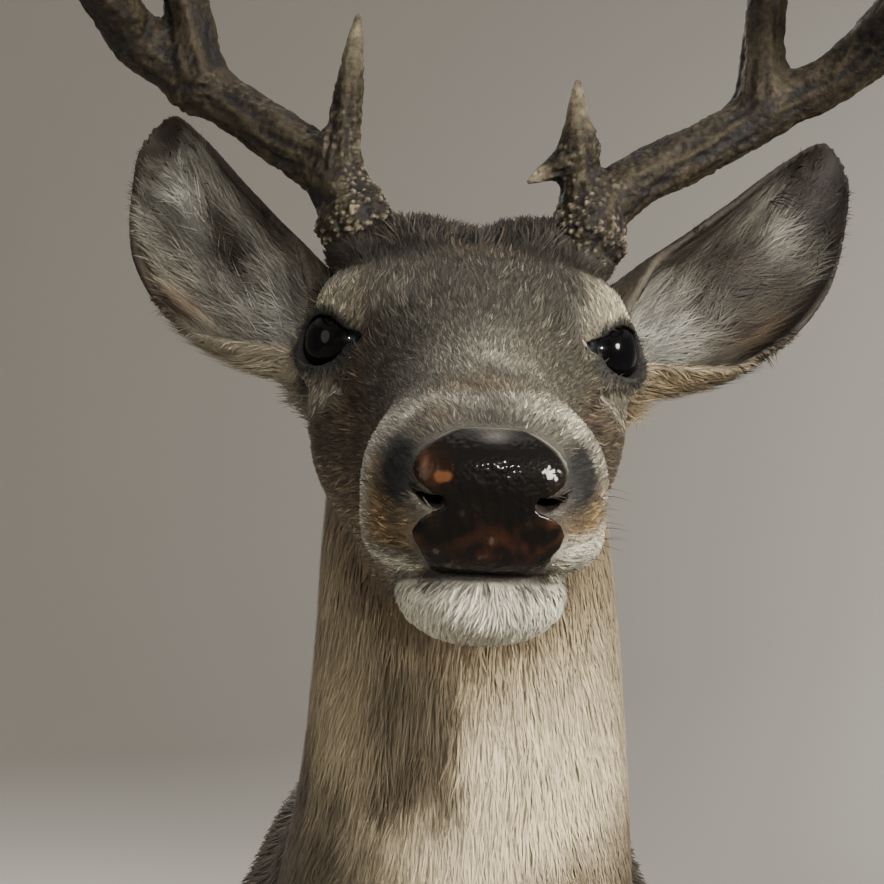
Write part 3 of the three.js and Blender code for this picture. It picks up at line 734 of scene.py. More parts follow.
# ---- Coat ----
COAT = {  # spacing, length, width, lift of the tip, spread of direction, gather size, gather share
    "face": (1.1, 4.4, 0.95, 0.9, 0.32, 5.0, 0.15),
    "chin": (1.15, 6.5, 0.72, 1.2, 0.4, 5.0, 0.12),
    "head": (1.38, 6.2, 1.2, 1.4, 0.36, 7.0, 0.25),
    "crown": (1.4, 10.5, 1.0, 3.8, 0.6, 8.0, 0.35),
    "ruff": (1.6, 17.0, 0.8, 5.0, 0.3, 8.0, 0.35),
    "ear_back": (1.45, 6.5, 0.95, 0.9, 0.2, 6.0, 0.2),
    "ear_rim": (1.15, 5.0, 0.75, 0.7, 0.12, 5.0, 0.0),
    "ear_inner": (1.5, 15.0, 0.62, 3.2, 0.75, 7.0, 0.5),
    "ear_fringe": (1.7, 21.0, 0.7, 5.5, 0.35, 8.0, 0.4),
    "neck": (1.48, 23.0, 0.95, 2.8, 0.26, 11.0, 0.3),
    "shoulders": (2.5, 28.0, 1.8, 6.0, 0.18, 14.0, 0.35),
}
KIND = {name: i for i, name in enumerate(COAT)}
COAT_TABLE = np.array(list(COAT.values()))
LONG = ("neck", "shoulders", "ear_inner", "ear_fringe", "ruff", "crown", "chin")
TICKED = ("face", "head", "crown")  # short coat of mixed light and dark hairs
# By sort of hair: how far a tuft's flanks lean, how far locks and single tufts differ in tone.
FLANKS = {"neck": 0.12, "shoulders": 0.3, "ruff": 0.25, "ear_inner": 0.4, "ear_fringe": 0.4}
LOCK_TONES = {"neck": 0.1, "shoulders": 0.15, "ruff": 0.25, "crown": 0.3, "ear_inner": 0.4,
              "ear_fringe": 0.35}
TONE_SPREAD = {"face": 0.5, "head": 0.5, "crown": 0.5, "chin": 0.24, "neck": 0.13}
DARK_TIPS = {"face": 0.35, "head": 0.35, "crown": 0.35, "chin": 0.22}  # share of the hairs


def is_kind(kind, *names):
    return np.isin(kind, [KIND[name] for name in names])


def by_kind(kind, values, other):
    """A value for each root, from a table by its sort of hair."""
    return np.array([values.get(name, other) for name in COAT])[kind]


def smooth_skin(p):
    """The skin with its eyes, nostrils and mouth left whole, for the coat to lie on."""
    f = body_field(p)
    q = to_head(p)
    head = by_head(q, (140, -60, -140, 160))
    part = smooth_min(bare_field(q[head]), f[head], HEAD_BLEND)
    f[head] = smooth_min(part, lids(mirrored(q[head])), LID_BLEND)
    for k in (1, -1):
        f = smooth_min(f, ear_field(p, k), EAR_BLEND)
    return f


def kind_of(place):
    """Which sort of hair grows at each point, as its number in KIND."""
    x, s, w = place["q"].T
    on_head = place["on_head"] > 0.5
    sorts = [("head", on_head), ("face", on_head & (s < 150)),
             ("chin", (w < MOUTH_LINE(s) - 1) & (s < 110) & (s > 0)),
             ("crown", (place["on_head"] > 0.4) & (s > 214) & (w > 70) & (np.abs(x) < 34)),
             ("ruff", on_head & (s > 222) & (np.abs(x) > 46) & (w > -14) & (w < 36)),
             ("shoulders", ~on_head & (place["t"] < 2.9))]
    for ear in (place[1], place[-1]):
        on, u = ear["on"] > 0.5, ear["u"]
        sorts += [("ear_back", on & ~ear["inner"]), ("ear_inner", on & ear["inner"]),
                  ("ear_fringe", on & (u < 0.42) & (u > -0.05) & (ear["angle"] > 0) & (ear["edge"] > 0.55)),
                  ("ear_rim", on & (((ear["edge"] > 0.86) & (u > 0.42)) | (u > 0.93)))]
    kind = np.full(len(s), KIND["neck"])
    for name, where in sorts:
        kind[where] = KIND[name]
    return kind


def bald(p, q):
    """Where no hair grows: the nose pad, the mouth and nostrils, the eyes and lid margins, the flat back."""
    x, s, w = q.T
    bare = (np.abs(x) < PAD_HALF(w) + 0.4) & (s < PAD_BACK + 1) & (w > MOUTH_LINE(s)) & (w < 41.5)
    head = (s < 330) & (s > -40) & (np.abs(x) < 120)
    bare |= head & (np.abs(w - MOUTH_LINE(s)) < 1.1) & (s < MOUTH_CORNER + 4)
    eye = mirrored(q) - EYE_AT
    reach = np.linalg.norm(eye, axis=-1)
    bare |= (reach < EYE["r"] + 1.5) & (eye @ unit(GAZE) > 0)
    bare |= reach < EYE["r"] + 0.9
    return bare | (p[:, 1] > -3)


def scatter(points, quads, normals, spacing):
    """Roots spread over the skin, one to a small cube of the spacing wanted there."""
    corner = points[quads]
    area = np.linalg.norm(np.cross(corner[:, 2] - corner[:, 0], corner[:, 3] - corner[:, 1]), axis=-1) / 2
    want = area / spacing[quads].mean(-1) ** 2
    n = int(want.sum() * 3.0)
    pick = np.searchsorted(np.cumsum(want) / want.sum(), RNG.random(n))
    pick = np.minimum(pick, len(quads) - 1)
    u, v = RNG.random((2, n, 1))
    weights = np.stack([(1 - u) * (1 - v), u * (1 - v), u * v, (1 - u) * v], 1)
    root = (corner[pick] * weights).sum(1)
    normal = unit((normals[quads[pick]] * weights).sum(1))
    size = (spacing[quads[pick]] * weights[..., 0]).sum(1) * 1.12
    cell = np.floor(root / size[:, None]).astype(np.int64)
    key = cell[:, 0] * 73856093 ^ cell[:, 1] * 19349663 ^ cell[:, 2] * 83492791 ^ (size * 50).astype(np.int64)
    _, first = np.unique(key, return_index=True)
    return root[first], normal[first]


def gather(root, size):
    """The middle of the lock that each root belongs to."""
    cell = np.floor(root / size)
    seed = cell @ [12.9898, 78.233, 37.719]
    jitter = np.stack([np.sin(seed * k) * 43758.5453 % 1 for k in (1.0, 1.7, 2.3)], -1)
    return (cell + 0.2 + 0.6 * jitter) * size


def grow(root, normal, place, kind):
    """Middle, tip, sideways direction and width of each tuft."""
    _, length, width, lift, spread, size, share = COAT_TABLE[kind].T
    n = len(root)
    way = lie(normal, place)
    aside = unit(np.cross(way, normal))
    sway = spread * (0.55 * patches(root, 14.0) + 0.5 * patches(root, 6.0))
    sway = sway + RNG.normal(size=n) * spread * 0.45
    way = unit(way + aside * sway[:, None])
    edge = np.where(root[:, 0] > 0, place[1]["edge"], place[-1]["edge"])
    far = np.where(root[:, 0] > 0, place[1]["u"], place[-1]["u"])
    rim = np.maximum(ramp(edge, 0.6, 0.95), ramp(far, 0.66, 0.9)) * (place["on_ear"] > 0.5)
    by_eye = 1 - ramp(np.linalg.norm(mirrored(place["q"]) - EYE_AT, axis=-1), 19.5, 31)
    full = np.where(is_kind(kind, "ruff") & (root[:, 0] > 0), 1.5, 1.0)
    length = length * RNG.uniform(0.7, 1.25, n) * (1 - 0.66 * rim) * (1 - 0.6 * by_eye) * full
    lift = lift * (1 - 0.75 * rim) * (1 - 0.4 * by_eye) * full
    toward = gather(root, size[:, None]) - root
    toward -= normal * (toward * normal).sum(-1, keepdims=True)
    toward -= way * (toward * way).sum(-1, keepdims=True)
    toward *= share[:, None]
    lift = lift * RNG.uniform(0.45, 1.25, n)

    def pressed(point, height):
        gap = height - in_pieces(smooth_skin, point)
        return point + normal * np.clip(gap, -6, 9)[:, None]

    middle = pressed(root + way * (length * 0.5)[:, None] + toward * 0.4, lift * 0.62)
    tip = pressed(2 * middle - root + toward * 0.2, lift)
    stray = np.linalg.norm(tip - root, axis=-1) > 1.35 * length + 2.5
    cut = np.where(stray, 0.35, 1.0)[:, None]
    middle, tip = root + (middle - root) * cut, root + (tip - root) * cut
    behind = np.clip((-1.2 - root[:, 1]) / np.maximum(tip[:, 1] - root[:, 1], 1e-6), 0.05, 1)
    behind = np.where(tip[:, 1] > -1.2, behind, 1.0)[:, None]
    middle, tip = root + (middle - root) * behind, root + (tip - root) * behind
    return middle, tip, unit(np.cross(tip - root, normal)), width * RNG.uniform(0.75, 1.2, n)


def unwrapped(place):
    """Where each root falls on an unwrap of the skin: round it and along it, with the ears beside."""
    x, s, w = place["q"].T
    head_round = np.arctan2(x, w - FACE["level"](s))
    turn_ = np.where(place["on_head"] > 0.5, head_round, place["round"]) / (2 * np.pi) + 0.5
    along = np.where(place["on_head"] > 0.5, 0.62 + 0.36 * np.clip(1 - s / 320, 0, 1),
                     0.6 * np.clip(place["t"] / 8, 0, 1))
    uv = np.stack([0.01 + 0.56 * turn_, along], -1)
    for k, left in ((1, 0.60), (-1, 0.80)):
        ear = place[k]
        fold = np.clip(ear["angle"] / np.pi, -1, 1) * 0.08
        up = np.where(ear["inner"], 0.02, 0.52) + 0.44 * np.clip(ear["u"], 0, 1)
        uv = np.where((ear["on"] > 0.5)[:, None], np.stack([left + 0.1 + fold, up], -1), uv)
    return uv


def tuft_shades(root, kind):
    """How light each tuft is, and whether its tip is dark."""
    lock = np.sin(gather(root, COAT_TABLE[kind, 5:6]) @ [12.9, 78.2, 37.7])
    mottle = np.where(is_kind(kind, *TICKED), 0.3, 0.1) * patches(root, 2.5)
    own = RNG.normal(size=len(root)) * by_kind(kind, TONE_SPREAD, 0.2)
    shade = np.exp(own + mottle + by_kind(kind, LOCK_TONES, 0.0) * lock)[:, None]
    dark_tip = (RNG.random(len(root)) < by_kind(kind, DARK_TIPS, 0.12))[:, None]
    return shade, dark_tip


def tuft_faces(rings):
    """Triangles of one tuft: its foot, the sides from ring to ring, and the sides of its tip."""
    last, tip = 3 * rings - 3, 3 * rings
    faces = [(0, 2, 1)]
    for a, b in ((0, 1), (1, 2), (2, 0)):
        for r in range(0, last, 3):
            faces += [(r + a, r + b, r + b + 3), (r + a, r + b + 3, r + a + 3)]
    faces += [(last + a, last + b, tip) for a, b in ((0, 1), (1, 2), (2, 0))]
    return np.array(faces)[:, ::-1]


def tufts(name, root, normal, place, kind, material):
    """One coat piece: a closed, flattened, tapering tuft for each root."""
    middle, tip, aside, width = grow(root, normal, place, kind)
    long = is_kind(kind, *LONG)
    base, centre = markings(root, place), unwrapped(place)
    shade, dark_tip = tuft_shades(root, kind)
    lean = by_kind(kind, FLANKS, 0.7)
    points, colours, normals, uvs, faces = [], [], [], [], []
    offset = 0
    for group, rings in ((long, 2), (~long, 1)):
        if not group.any():
            continue
        up, side, w0 = normal[group], aside[group], width[group]
        tilt, flat = side * lean[group][:, None], 0.46 * lean[group]

        def ring_at(at, w, sink):
            half = side * (w / 2)[:, None]
            return [at - half - up * sink, at + half - up * sink, at + up * (flat * w)[:, None]]

        # Painted shade: each tuft's foot is darkened next to the skin, and its ridge is painted a little
        # lighter than its flanks as painted light on the top.
        foot_shade = 0.72 if rings == 1 else 0.86
        layers = ring_at(root[group], w0 * (0.75 if rings == 2 else 1.0), TUFT_SUNK)
        shades = [foot_shade, foot_shade, foot_shade + 0.08]
        places = [(-1, -1), (1, -1), (0, -1)]
        if rings == 2:
            layers += ring_at(middle[group], w0 * 0.85, 0.0)
            shades += [0.97, 0.97, 1.02]
            places += [(-0.8, 0), (0.8, 0), (0, 0)]
        layers.append(tip[group])
        places.append((0, 1))
        tone = base[group] * shade[group]
        paint = [tone * k for k in shades] + [tone * np.where(dark_tip[group], 0.55, 1.12)]
        points.append(np.stack(layers, 1).reshape(-1, 3))
        colours.append(np.stack(paint, 1).reshape(-1, 3))
        normals.append(np.stack([unit(up - tilt), unit(up + tilt), up] * rings + [up], 1).reshape(-1, 3))
        uvs.append((centre[group][:, None] + np.array(places) * HALF_PATCH).reshape(-1, 2))
        start = offset + np.arange(len(up))[:, None, None] * len(layers)
        faces.append((start + tuft_faces(rings)).reshape(-1, 3))
        offset += len(up) * len(layers)
    faces = np.concatenate(faces)
    colours = np.clip(np.concatenate(colours), 0.003, 1.0)
    piece = mesh_object(name, np.concatenate(points), faces, material, colours)
    patch_map(piece, np.concatenate(uvs), faces)
    piece.data.normals_split_custom_set_from_vertices(np.concatenate(normals).astype(np.float32))
    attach(piece, "root")
    return piece


def bristles(name, hairs, width, colour, material):
    """Single stiff hairs, each a tapering three-sided rod that bends as it goes."""
    roots, ways, bend, lengths = (np.array(a) for a in zip(*hairs))
    n, steps = len(roots), 5
    aside = unit(np.cross(ways, bend))
    points, faces = [], []
    for i in range(steps):
        share = i / (steps - 1)
        at = roots + ways * (lengths * share)[:, None] + bend * (lengths * share ** 2)[:, None]
        up = unit(np.cross(aside, ways))
        r = width * (1 - 0.92 * share) / 2
        points += [at + aside * r, at - aside * r * 0.5 + up * r * 0.87, at - aside * r * 0.5 - up * r * 0.87]
    points = np.stack(points, 1).reshape(-1, 3)
    tris = [(0, 1, 2), (3 * steps - 1, 3 * steps - 2, 3 * steps - 3)]
    for r in range(0, 3 * steps - 3, 3):
        for a, b in ((0, 1), (1, 2), (2, 0)):
            tris += [(r + a, r + b + 3, r + b), (r + a, r + a + 3, r + b + 3)]
    faces = (np.arange(n)[:, None, None] * 3 * steps + np.array(tris)).reshape(-1, 3)
    piece = mesh_object(name, points, faces, material, colour)
    place = unwrapped(surroundings(np.repeat(roots, 3 * steps, 0)))
    nudge = np.stack([np.repeat(np.linspace(-1, 1, steps), 3), np.tile([-1, 0, 1], steps)], -1)
    patch_map(piece, place + np.tile(nudge, (n, 1)) * HALF_PATCH, faces)
    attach(piece, "root")
    return piece


# ---- Antlers ----
BEAM_RADIUS = profile((0, 13), (0.015, 17), (0.035, 16), (0.06, 13.2), (0.12, 12), (0.3, 11.2), (0.36, 12),
                      (0.6, 10.6), (0.8, 8.4), (0.93, 5.2), (1, 2))
TINE_RADIUS = profile((0, 1.05), (0.25, 0.84), (0.6, 0.66), (0.85, 0.44), (1, 0.18))
ANTLERS = {
    "right": {
        "beam": [(-52, -301, 386), (-58, -297, 404), (-71, -293, 422), (-87, -290, 433), (-103, -287, 444),
                 (-123, -284, 457), (-144, -284, 470), (-159, -290, 480), (-168, -306, 491),
                 (-189, -345, 509), (-203, -395, 524), (-201, -448, 535), (-181, -493, 541),
                 (-150, -524, 543)],
        "brow_tine": (8.8, [(-64, -298, 412), (-60, -306, 449), (-56, -314, 484)]),
        "g2": (11.5, [(-130, -284, 462), (-141, -294, 520), (-144, -316, 578), (-136, -342, 632)]),
        "g3": (10.5, [(-194, -358, 513), (-207, -368, 558), (-207, -382, 600), (-199, -398, 638)]),
    },
    "left": {
        "beam": [(47, -302, 383), (54, -297, 404), (72, -292, 421), (95, -288, 434), (116, -285, 447),
                 (138, -284, 461), (159, -288, 472), (174, -298, 483), (185, -316, 495), (203, -354, 511),
                 (214, -403, 525), (211, -455, 536), (192, -500, 542), (161, -528, 544)],
        "brow_tine": (9.6, [(47, -299, 400), (43, -304, 430), (42, -309, 459)]),
        "kicker": (6.4, [(45, -304, 431), (33, -306, 422), (22, -308, 414)]),
        "g2": (10.5, [(128, -284, 460), (130, -290, 512), (138, -308, 566), (134, -334, 618)]),
        "g3": (10.0, [(206, -366, 515), (217, -376, 556), (217, -390, 596), (209, -406, 630)]),
    },
}


BONE = {"groove": (0.0098, 0.0072, 0.0039), "ridge": (0.046, 0.0355, 0.020), "dirt": (0.014, 0.0105, 0.006),
        "worn": (0.27, 0.23, 0.15), "tip": (0.30, 0.255, 0.17), "facet": (0.10, 0.08, 0.048)}


def curve(points, step=1.5):
    """A centripetal Catmull-Rom curve through the points, sampled evenly along its length."""
    p = np.array(points, float)
    p = np.concatenate([2 * p[:1] - p[1:2], p, 2 * p[-1:] - p[-2:-1]])
    u = np.linspace(0, 1, 30, endpoint=False)[:, None]
    out = []
    for a, b, c, d in zip(p, p[1:], p[2:], p[3:]):
        t0, t1, t2 = (np.linalg.norm(e - f) ** 0.5 for e, f in ((b, a), (c, b), (d, c)))
        m1 = ((b - a) / t0 - (c - a) / (t0 + t1) + (c - b) / t1) * t1
        m2 = ((c - b) / t1 - (d - b) / (t1 + t2) + (d - c) / t2) * t1
        out.append((2 * u ** 3 - 3 * u ** 2 + 1) * b + (u ** 3 - 2 * u ** 2 + u) * m1
                   + (3 * u ** 2 - 2 * u ** 3) * c + (u ** 3 - u ** 2) * m2)
    out = np.concatenate(out + [p[-2:-1]])
    along = np.concatenate([[0], np.cumsum(np.linalg.norm(np.diff(out, axis=0), axis=1))])
    even = np.linspace(0, along[-1], max(int(along[-1] / step), 4))
    return np.stack([np.interp(even, along, out[:, i]) for i in range(3)], -1)


def branch(points, radius):
    """A branch of an antler with a coarse table of the nearest place on it."""
    line = curve(points)
    low, cell = line.min(0) - 34, 5.0
    size = ((line.max(0) + 34 - low) / cell).astype(int) + 2
    grid = np.stack(np.meshgrid(*[np.arange(k) for k in size], indexing="ij"), -1) * cell + low
    flat = grid.reshape(-1, 3)
    nearest = np.concatenate([np.argmin(((flat[i:i + 4000, None] - line[::3]) ** 2).sum(-1), 1) * 3
                              for i in range(0, len(flat), 4000)])
    tangent = unit(np.gradient(line, axis=0))
    gap = np.linalg.norm(line[1] - line[0])
    share = np.linspace(0, 1, len(line))
    return {"line": line, "low": low, "cell": cell, "size": size, "nearest": nearest.reshape(size),
            "tangent": tangent, "gap": gap, "radii": radius(share), "length": gap * (len(line) - 1)}


def on_branch(p, b):
    """Distance to a branch, share of its length, and the point of its centreline."""
    cell = np.clip(np.rint((p - b["low"]) / b["cell"]).astype(int), 0, b["size"] - 1)
    at = b["nearest"][tuple(cell.T)].astype(float)
    last = len(b["line"]) - 1
    for _ in range(3):
        i = np.clip(np.rint(at).astype(int), 0, last)
        at = np.clip(i + ((p - b["line"][i]) * b["tangent"][i]).sum(-1) / b["gap"], 0, last)
    i = np.minimum(at.astype(int), last - 1)
    f = (at - i)[:, None]
    centre = b["line"][i] * (1 - f) + b["line"][i + 1] * f
    radius = np.interp(at, np.arange(last + 1), b["radii"])
    return np.linalg.norm(p - centre, axis=-1) - radius, at / last, centre


def pearls(p, size):
    """Height of rounded bumps scattered one to a cell, from 0 between them to 1 on top."""
    cell = np.floor(p / size)
    nearest = np.full(len(p), 9.0)
    for shift in np.ndindex(3, 3, 3):
        corner = cell + np.array(shift) - 1
        seed = corner @ [127.1, 311.7, 74.7]
        jitter = np.stack([np.sin(seed * k) * 43758.5453 % 1 for k in (1.0, 1.31, 1.73)], -1)
        nearest = np.minimum(nearest, np.linalg.norm((corner + 0.15 + 0.7 * jitter) - p / size, axis=-1))
    return np.clip(1 - (nearest / 0.62) ** 2, 0, 1)


def antler(side, material):
    """One antler: beam and tines run together, grooved, and pearled near the burr."""
    k = 1 if side == "left" else -1
    shape = ANTLERS[side]
    branches = [branch(shape["beam"], BEAM_RADIUS)]
    names = ["beam_base", "beam_middle", "beam_tip"]
    for name, tine in shape.items():
        if name != "beam":
            thick, points = tine
            branches.append(branch(points, lambda t, thick=thick: TINE_RADIUS(t) * thick))
            names.append(name)

    def field(p):
        f = on_branch(p, branches[0])[0]
        for b in branches[1:]:
            f = smooth_min(f, on_branch(p, b)[0], 9.0)
        return f

    everything = np.concatenate([b["line"] for b in branches])
    low, high = everything.min(0) - 18, everything.max(0) + 18
    inner, outer = (20, 116) if k > 0 else (-116, -20)
    xs = lines_of((low[0], inner, 1.7), (inner, outer, 1.05), (outer, high[0], 1.7))
    ys = lines_of((low[1], -325, 1.7), (-325, high[1], 1.05))
    zs = lines_of((low[2], 470, 1.05), (470, high[2], 1.7))
    points, quads = contour(field, xs, ys, zs, slack=1.6)
    normal = vertex_normals(points, quads)
    found = [on_branch(points, b) for b in branches]
    which = np.argmin([f[0] for f in found], 0)
    share = np.choose(which, [f[1] for f in found])
    length = np.array([b["length"] for b in branches])[which]
    centre = np.choose(which[:, None], [f[2] for f in found])
    beam = which == 0
    out = unit(points - centre)
    reach = share * length
    rough = np.where(beam, 1 - 0.75 * ramp(reach, 20, 44) - 0.17 * ramp(reach, 60, 170),
                     0.8 - 0.8 * ramp(share, 0.25, 0.75))
    upper_tine = which >= len(branches) - 2
    rough = np.where(upper_tine, 0.12 * (1 - ramp(share, 0, 0.4)), rough)
    burr = np.where(beam, near(reach, 9, 7.5), 0)
    smooth_end = np.where(beam, ramp(share, 0.86, 0.98), ramp(share, 0.55, 0.95))
    streak = np.concatenate([out * 15, reach[:, None] * 0.11], -1)
    groove = patches(streak[:, :3] + streak[:, 3:] * [1.1, -0.8, 0.9], 2.5) * 0.6
    groove += patches(out * 16 + streak[:, 3:] * [0.5, 0.6, -0.7], 6.0) * 0.6
    outer = ramp(out[:, 0] * k + 0.25 * patches(points, 14.0), -0.35, 0.35)
    rough = rough * np.where(beam, 1 - 0.85 * outer * ramp(reach, 4, 14), 0.55)
    bead = pearls(points, 3.0) * np.clip(0.9 + 0.5 * patches(points + 9, 6.0), 0.2, 1)
    small = pearls(points + 31.0, 2.3) * np.clip(0.8 + 0.7 * patches(points - 5, 6.0), 0.1, 1)
    knobs = np.maximum(bead, 0.8 * small)
    pits = ramp(pearls(points + 50, 4.2), 0.5, 0.85) * ramp(patches(points + 3, 14.0), -0.6, 0.4)
    pits = pits * (1 - smooth_end)
    lift = groove * (1.5 if k < 0 else 0.9) * (1 - smooth_end) * np.where(beam & (reach < 40), 0.6, 1)
    lift += (0.3 * patches(points, 2.5) + 0.35 * patches(points, 6.0)) * (1 - smooth_end) - 0.6 * pits
    lift += rough * (1.3 * knobs - 0.35) + burr * (1.8 * bead + 0.7 * patches(points, 6.0) - 0.3)
    points = points + normal * lift[:, None]
    colour = over(np.array(BONE["groove"])[None], ramp(groove, -0.75, 1.1), np.array(BONE["ridge"]))
    colour *= 1 - 0.6 * pits[:, None]
    dirty = np.clip(rough + burr, 0, 1)
    facets = ramp(patches(points * [1, 1, 0.6] + 77, 14.0), 0.6, 1.1) * (1 - rough)
    for name, mask in (("dirt", dirty * 0.62), ("worn", dirty * ramp(knobs, 0.45, 0.85) * 0.75),
                       ("tip", smooth_end * (0.62 + 0.25 * patches(points, 6.0))), ("facet", facets * 0.4)):
        colour = over(colour, mask, np.array(BONE[name]))
    piece = mesh_object("antler_" + side, points, quads, material, np.clip(colour, 0.01, 0.9))
    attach(piece, "root")
    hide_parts(*["antler_%s_%s" % (side, name) for name in names])
    return piece


# ---- Eyes and nose ----
def eye(side, material):
    """A glass eye: a ball with a bulging cornea, its iris and level pupil painted behind the gloss."""
    k = 1 if side == "left" else -1
    centre, gaze, level, high = eye_frame(k)
    rings, around = 56, 72
    polar = np.linspace(0.004, np.pi - 0.004, rings)[:, None]
    turn_ = np.linspace(0, 2 * np.pi, around, endpoint=False)[None]
    radius = EYE["r"] + 0.9 * (1 - ramp(np.degrees(polar), 16, 50))
    local = np.stack([np.sin(polar) * np.cos(turn_), np.cos(polar) * np.ones_like(turn_),
                      np.sin(polar) * np.sin(turn_)], -1) * radius[..., None]
    local = local.reshape(-1, 3)
    points = from_head(centre + local @ np.stack([level, gaze, high]))
    across, up = local[:, 0], local[:, 2]
    off = np.hypot(across, up)
    iris = np.array((0.0024, 0.0022, 0.0024)) * (1 + 0.4 * patches(local * [2, 0, 2], 2.5))[:, None]
    colour = over(iris, 1 - ramp(np.hypot(across / 8.2, up / 4.6), 0.9, 1.1), np.array((0.002, 0.002, 0.003)))
    colour = over(colour, ramp(off, 11.0, 12.6), np.array((0.006, 0.006, 0.008)))  # round the iris
    colour = over(colour, ramp(off, 13.6, 14.8), np.array((0.055, 0.06, 0.065)))  # where the lids hide it
    quads = grid_quads(rings, around)
    piece = mesh_object("glass_eye_" + side, points, quads, material, np.clip(colour, 0.001, 1))
    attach(piece, "root")
    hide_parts("eye_" + side)
    return piece


def nose_pad(material):
    """The bare pad: pebbled, nearly black, with red-brown patches and a worn rim."""
    c = from_head((0, 5, 18))
    step = 0.56
    points, quads = contour(pad_field, c[0] + np.arange(-31, 31, step), c[1] + np.arange(-16, 20, step),
                            c[2] + np.arange(-33, 31, step))
    q = to_head(points)
    normal = vertex_normals(points, quads)
    front = ramp(-q[:, 1], -12, -9)
    ripple = 0.16 * (pearls(points, 1.7) - 0.45) + 0.16 * patches(points, 2.5) * ramp(-q[:, 2], -30, -22)
    points = points + normal * (front * ripple)[:, None]
    x, _, w = q.T
    noise = patches(points, 6.0)
    fine = patches(points, 2.5)
    colour = np.repeat(np.array([[0.0048, 0.0042, 0.0036]]), len(points), 0)
    edge = np.maximum(np.abs(x) - PAD_HALF(w), w - 41)
    worn_rim = near(edge, -0.6, 0.8) * ramp(w, 24, 33) * ramp(x, -24, -8) * 0.75
    speckle = ramp(fine + 0.4 * noise, 1.0, 1.25) * ramp(-w, -20, -8) * 0.5
    wings = near(np.abs(x), 21, 3.5) * near(w, 12, 9)
    scar = ramp(-np.hypot((x + 14.5) / 2.4, (w - 26) / 1.6) - 0.3 * fine, -1.2, -0.6)
    tones = [((0.032, 0.012, 0.0062), spot(x, w, (6, 5), (16, 7)) * np.clip(0.45 + noise + 0.5 * fine, 0, 1)),
             ((0.10, 0.085, 0.07), speckle),
             ((0.040, 0.015, 0.006), spot(x, w, (-18, 29), (6, 5)) * np.clip(0.6 + 0.6 * noise, 0, 1)),
             ((0.11, 0.045, 0.018), scar),
             ((0.09, 0.045, 0.022), spot(x, w, (-20, 29.5), (1.1, 2.6)) * 0.8),
             ((0.10, 0.045, 0.02), wings * np.clip(0.2 + noise, 0, 1) * 0.5),
             ((0.26, 0.24, 0.20), worn_rim),
             ((0.12, 0.11, 0.1), spot(x, w, (1, 38), (4, 1.6)) * 0.6)]
    for rgb, mask in tones:
        colour = over(colour, mask, np.array(rgb))
    piece = mesh_object("nose", points, quads, material, np.clip(colour, 0.003, 1))
    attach(piece, "root")
    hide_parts("nose_pad")
    return piece


# ---- Materials ----
def material(name, **sockets):
    """A principled material with these socket values, its nodes, and its shader."""
    made = bpy.data.materials.new(name)
    made.use_nodes = True
    shader = made.node_tree.nodes["Principled BSDF"]
    set_sockets(shader, sockets)
    return made, made.node_tree, shader


def set_sockets(node, sockets):
    for socket, value in sockets.items():
        node.inputs[socket.replace("_", " ")].default_value = value


def add_node(tree, kind, fed=(), **sockets):
    """A new node with these socket values, fed by these outputs of others."""
    node = tree.nodes.new("ShaderNode" + kind)
    set_sockets(node, sockets)
    for socket, output in fed:
        tree.links.new(output, node.inputs[socket])
    return node


def painted(name, tick=0.0, tick_scale=900.0, bump=0.0, bump_scale=700.0, cells=False, depth=0.0006,
            **sockets):
    """The mesh's own colours, broken up by noise, over a bump of noise or cells."""
    made, tree, shader = material(name, **sockets)
    paint = add_node(tree, "Attribute")
    paint.attribute_name = "Coat"
    where = add_node(tree, "TexCoord").outputs["Object"]
    colour = paint.outputs["Color"]
    if tick:
        noise = add_node(tree, "TexNoise", [("Vector", where)], Scale=tick_scale, Detail=3.0)
        spread = add_node(tree, "MapRange", [("Value", noise.outputs["Fac"])], From_Min=0.3, From_Max=0.7,
                          To_Min=1 - tick, To_Max=1 + tick)
        mix = add_node(tree, "VectorMath")
        mix.operation = "SCALE"
        tree.links.new(colour, mix.inputs[0])
        tree.links.new(spread.outputs["Result"], mix.inputs["Scale"])
        colour = mix.outputs["Vector"]
    tree.links.new(colour, shader.inputs["Base Color"])
    if bump:
        if cells:
            grain = add_node(tree, "TexVoronoi", [("Vector", where)], Scale=bump_scale)
        else:
            grain = add_node(tree, "TexNoise", [("Vector", where)], Scale=bump_scale, Detail=4.0)
        height = grain.outputs["Distance" if cells else "Fac"]
        relief = add_node(tree, "Bump", [("Height", height)], Strength=bump, Distance=depth)
        relief.invert = cells
        tree.links.new(relief.outputs["Normal"], shader.inputs["Normal"])
    return made


def plywood():
    """Rotary-cut plywood: brown grain drawn out along the board."""
    made, tree, shader = material("Plywood", Roughness=0.7)
    where = add_node(tree, "TexCoord").outputs["Object"]
    stretch = add_node(tree, "Mapping", [("Vector", where)], Scale=(14, 14, 2.2))
    grain = add_node(tree, "TexNoise", [("Vector", stretch.outputs["Vector"])], Scale=6.0, Detail=6.0,
                     Distortion=0.8).outputs["Fac"]
    colours = add_node(tree, "ValToRGB", [("Fac", grain)])
    for element, at, colour in zip(colours.color_ramp.elements, (0.35, 0.68),
                                   ((0.22, 0.12, 0.055, 1), (0.46, 0.31, 0.16, 1))):
        element.position, element.color = at, colour
    relief = add_node(tree, "Bump", [("Height", grain)], Strength=0.25, Distance=0.0005)
    tree.links.new(colours.outputs["Color"], shader.inputs["Base Color"])
    tree.links.new(relief.outputs["Normal"], shader.inputs["Normal"])
    return made


# ---- Studio ----
def aimed(position, back, up):
    """A transform with its z axis along back and its y axis near up."""
    z = unit(back)
    x = unit(np.cross(up, z))
    axes = np.stack([x, np.cross(z, x), z], 1)
    return Matrix(np.column_stack([axes, position]).tolist() + [[0, 0, 0, 1]])


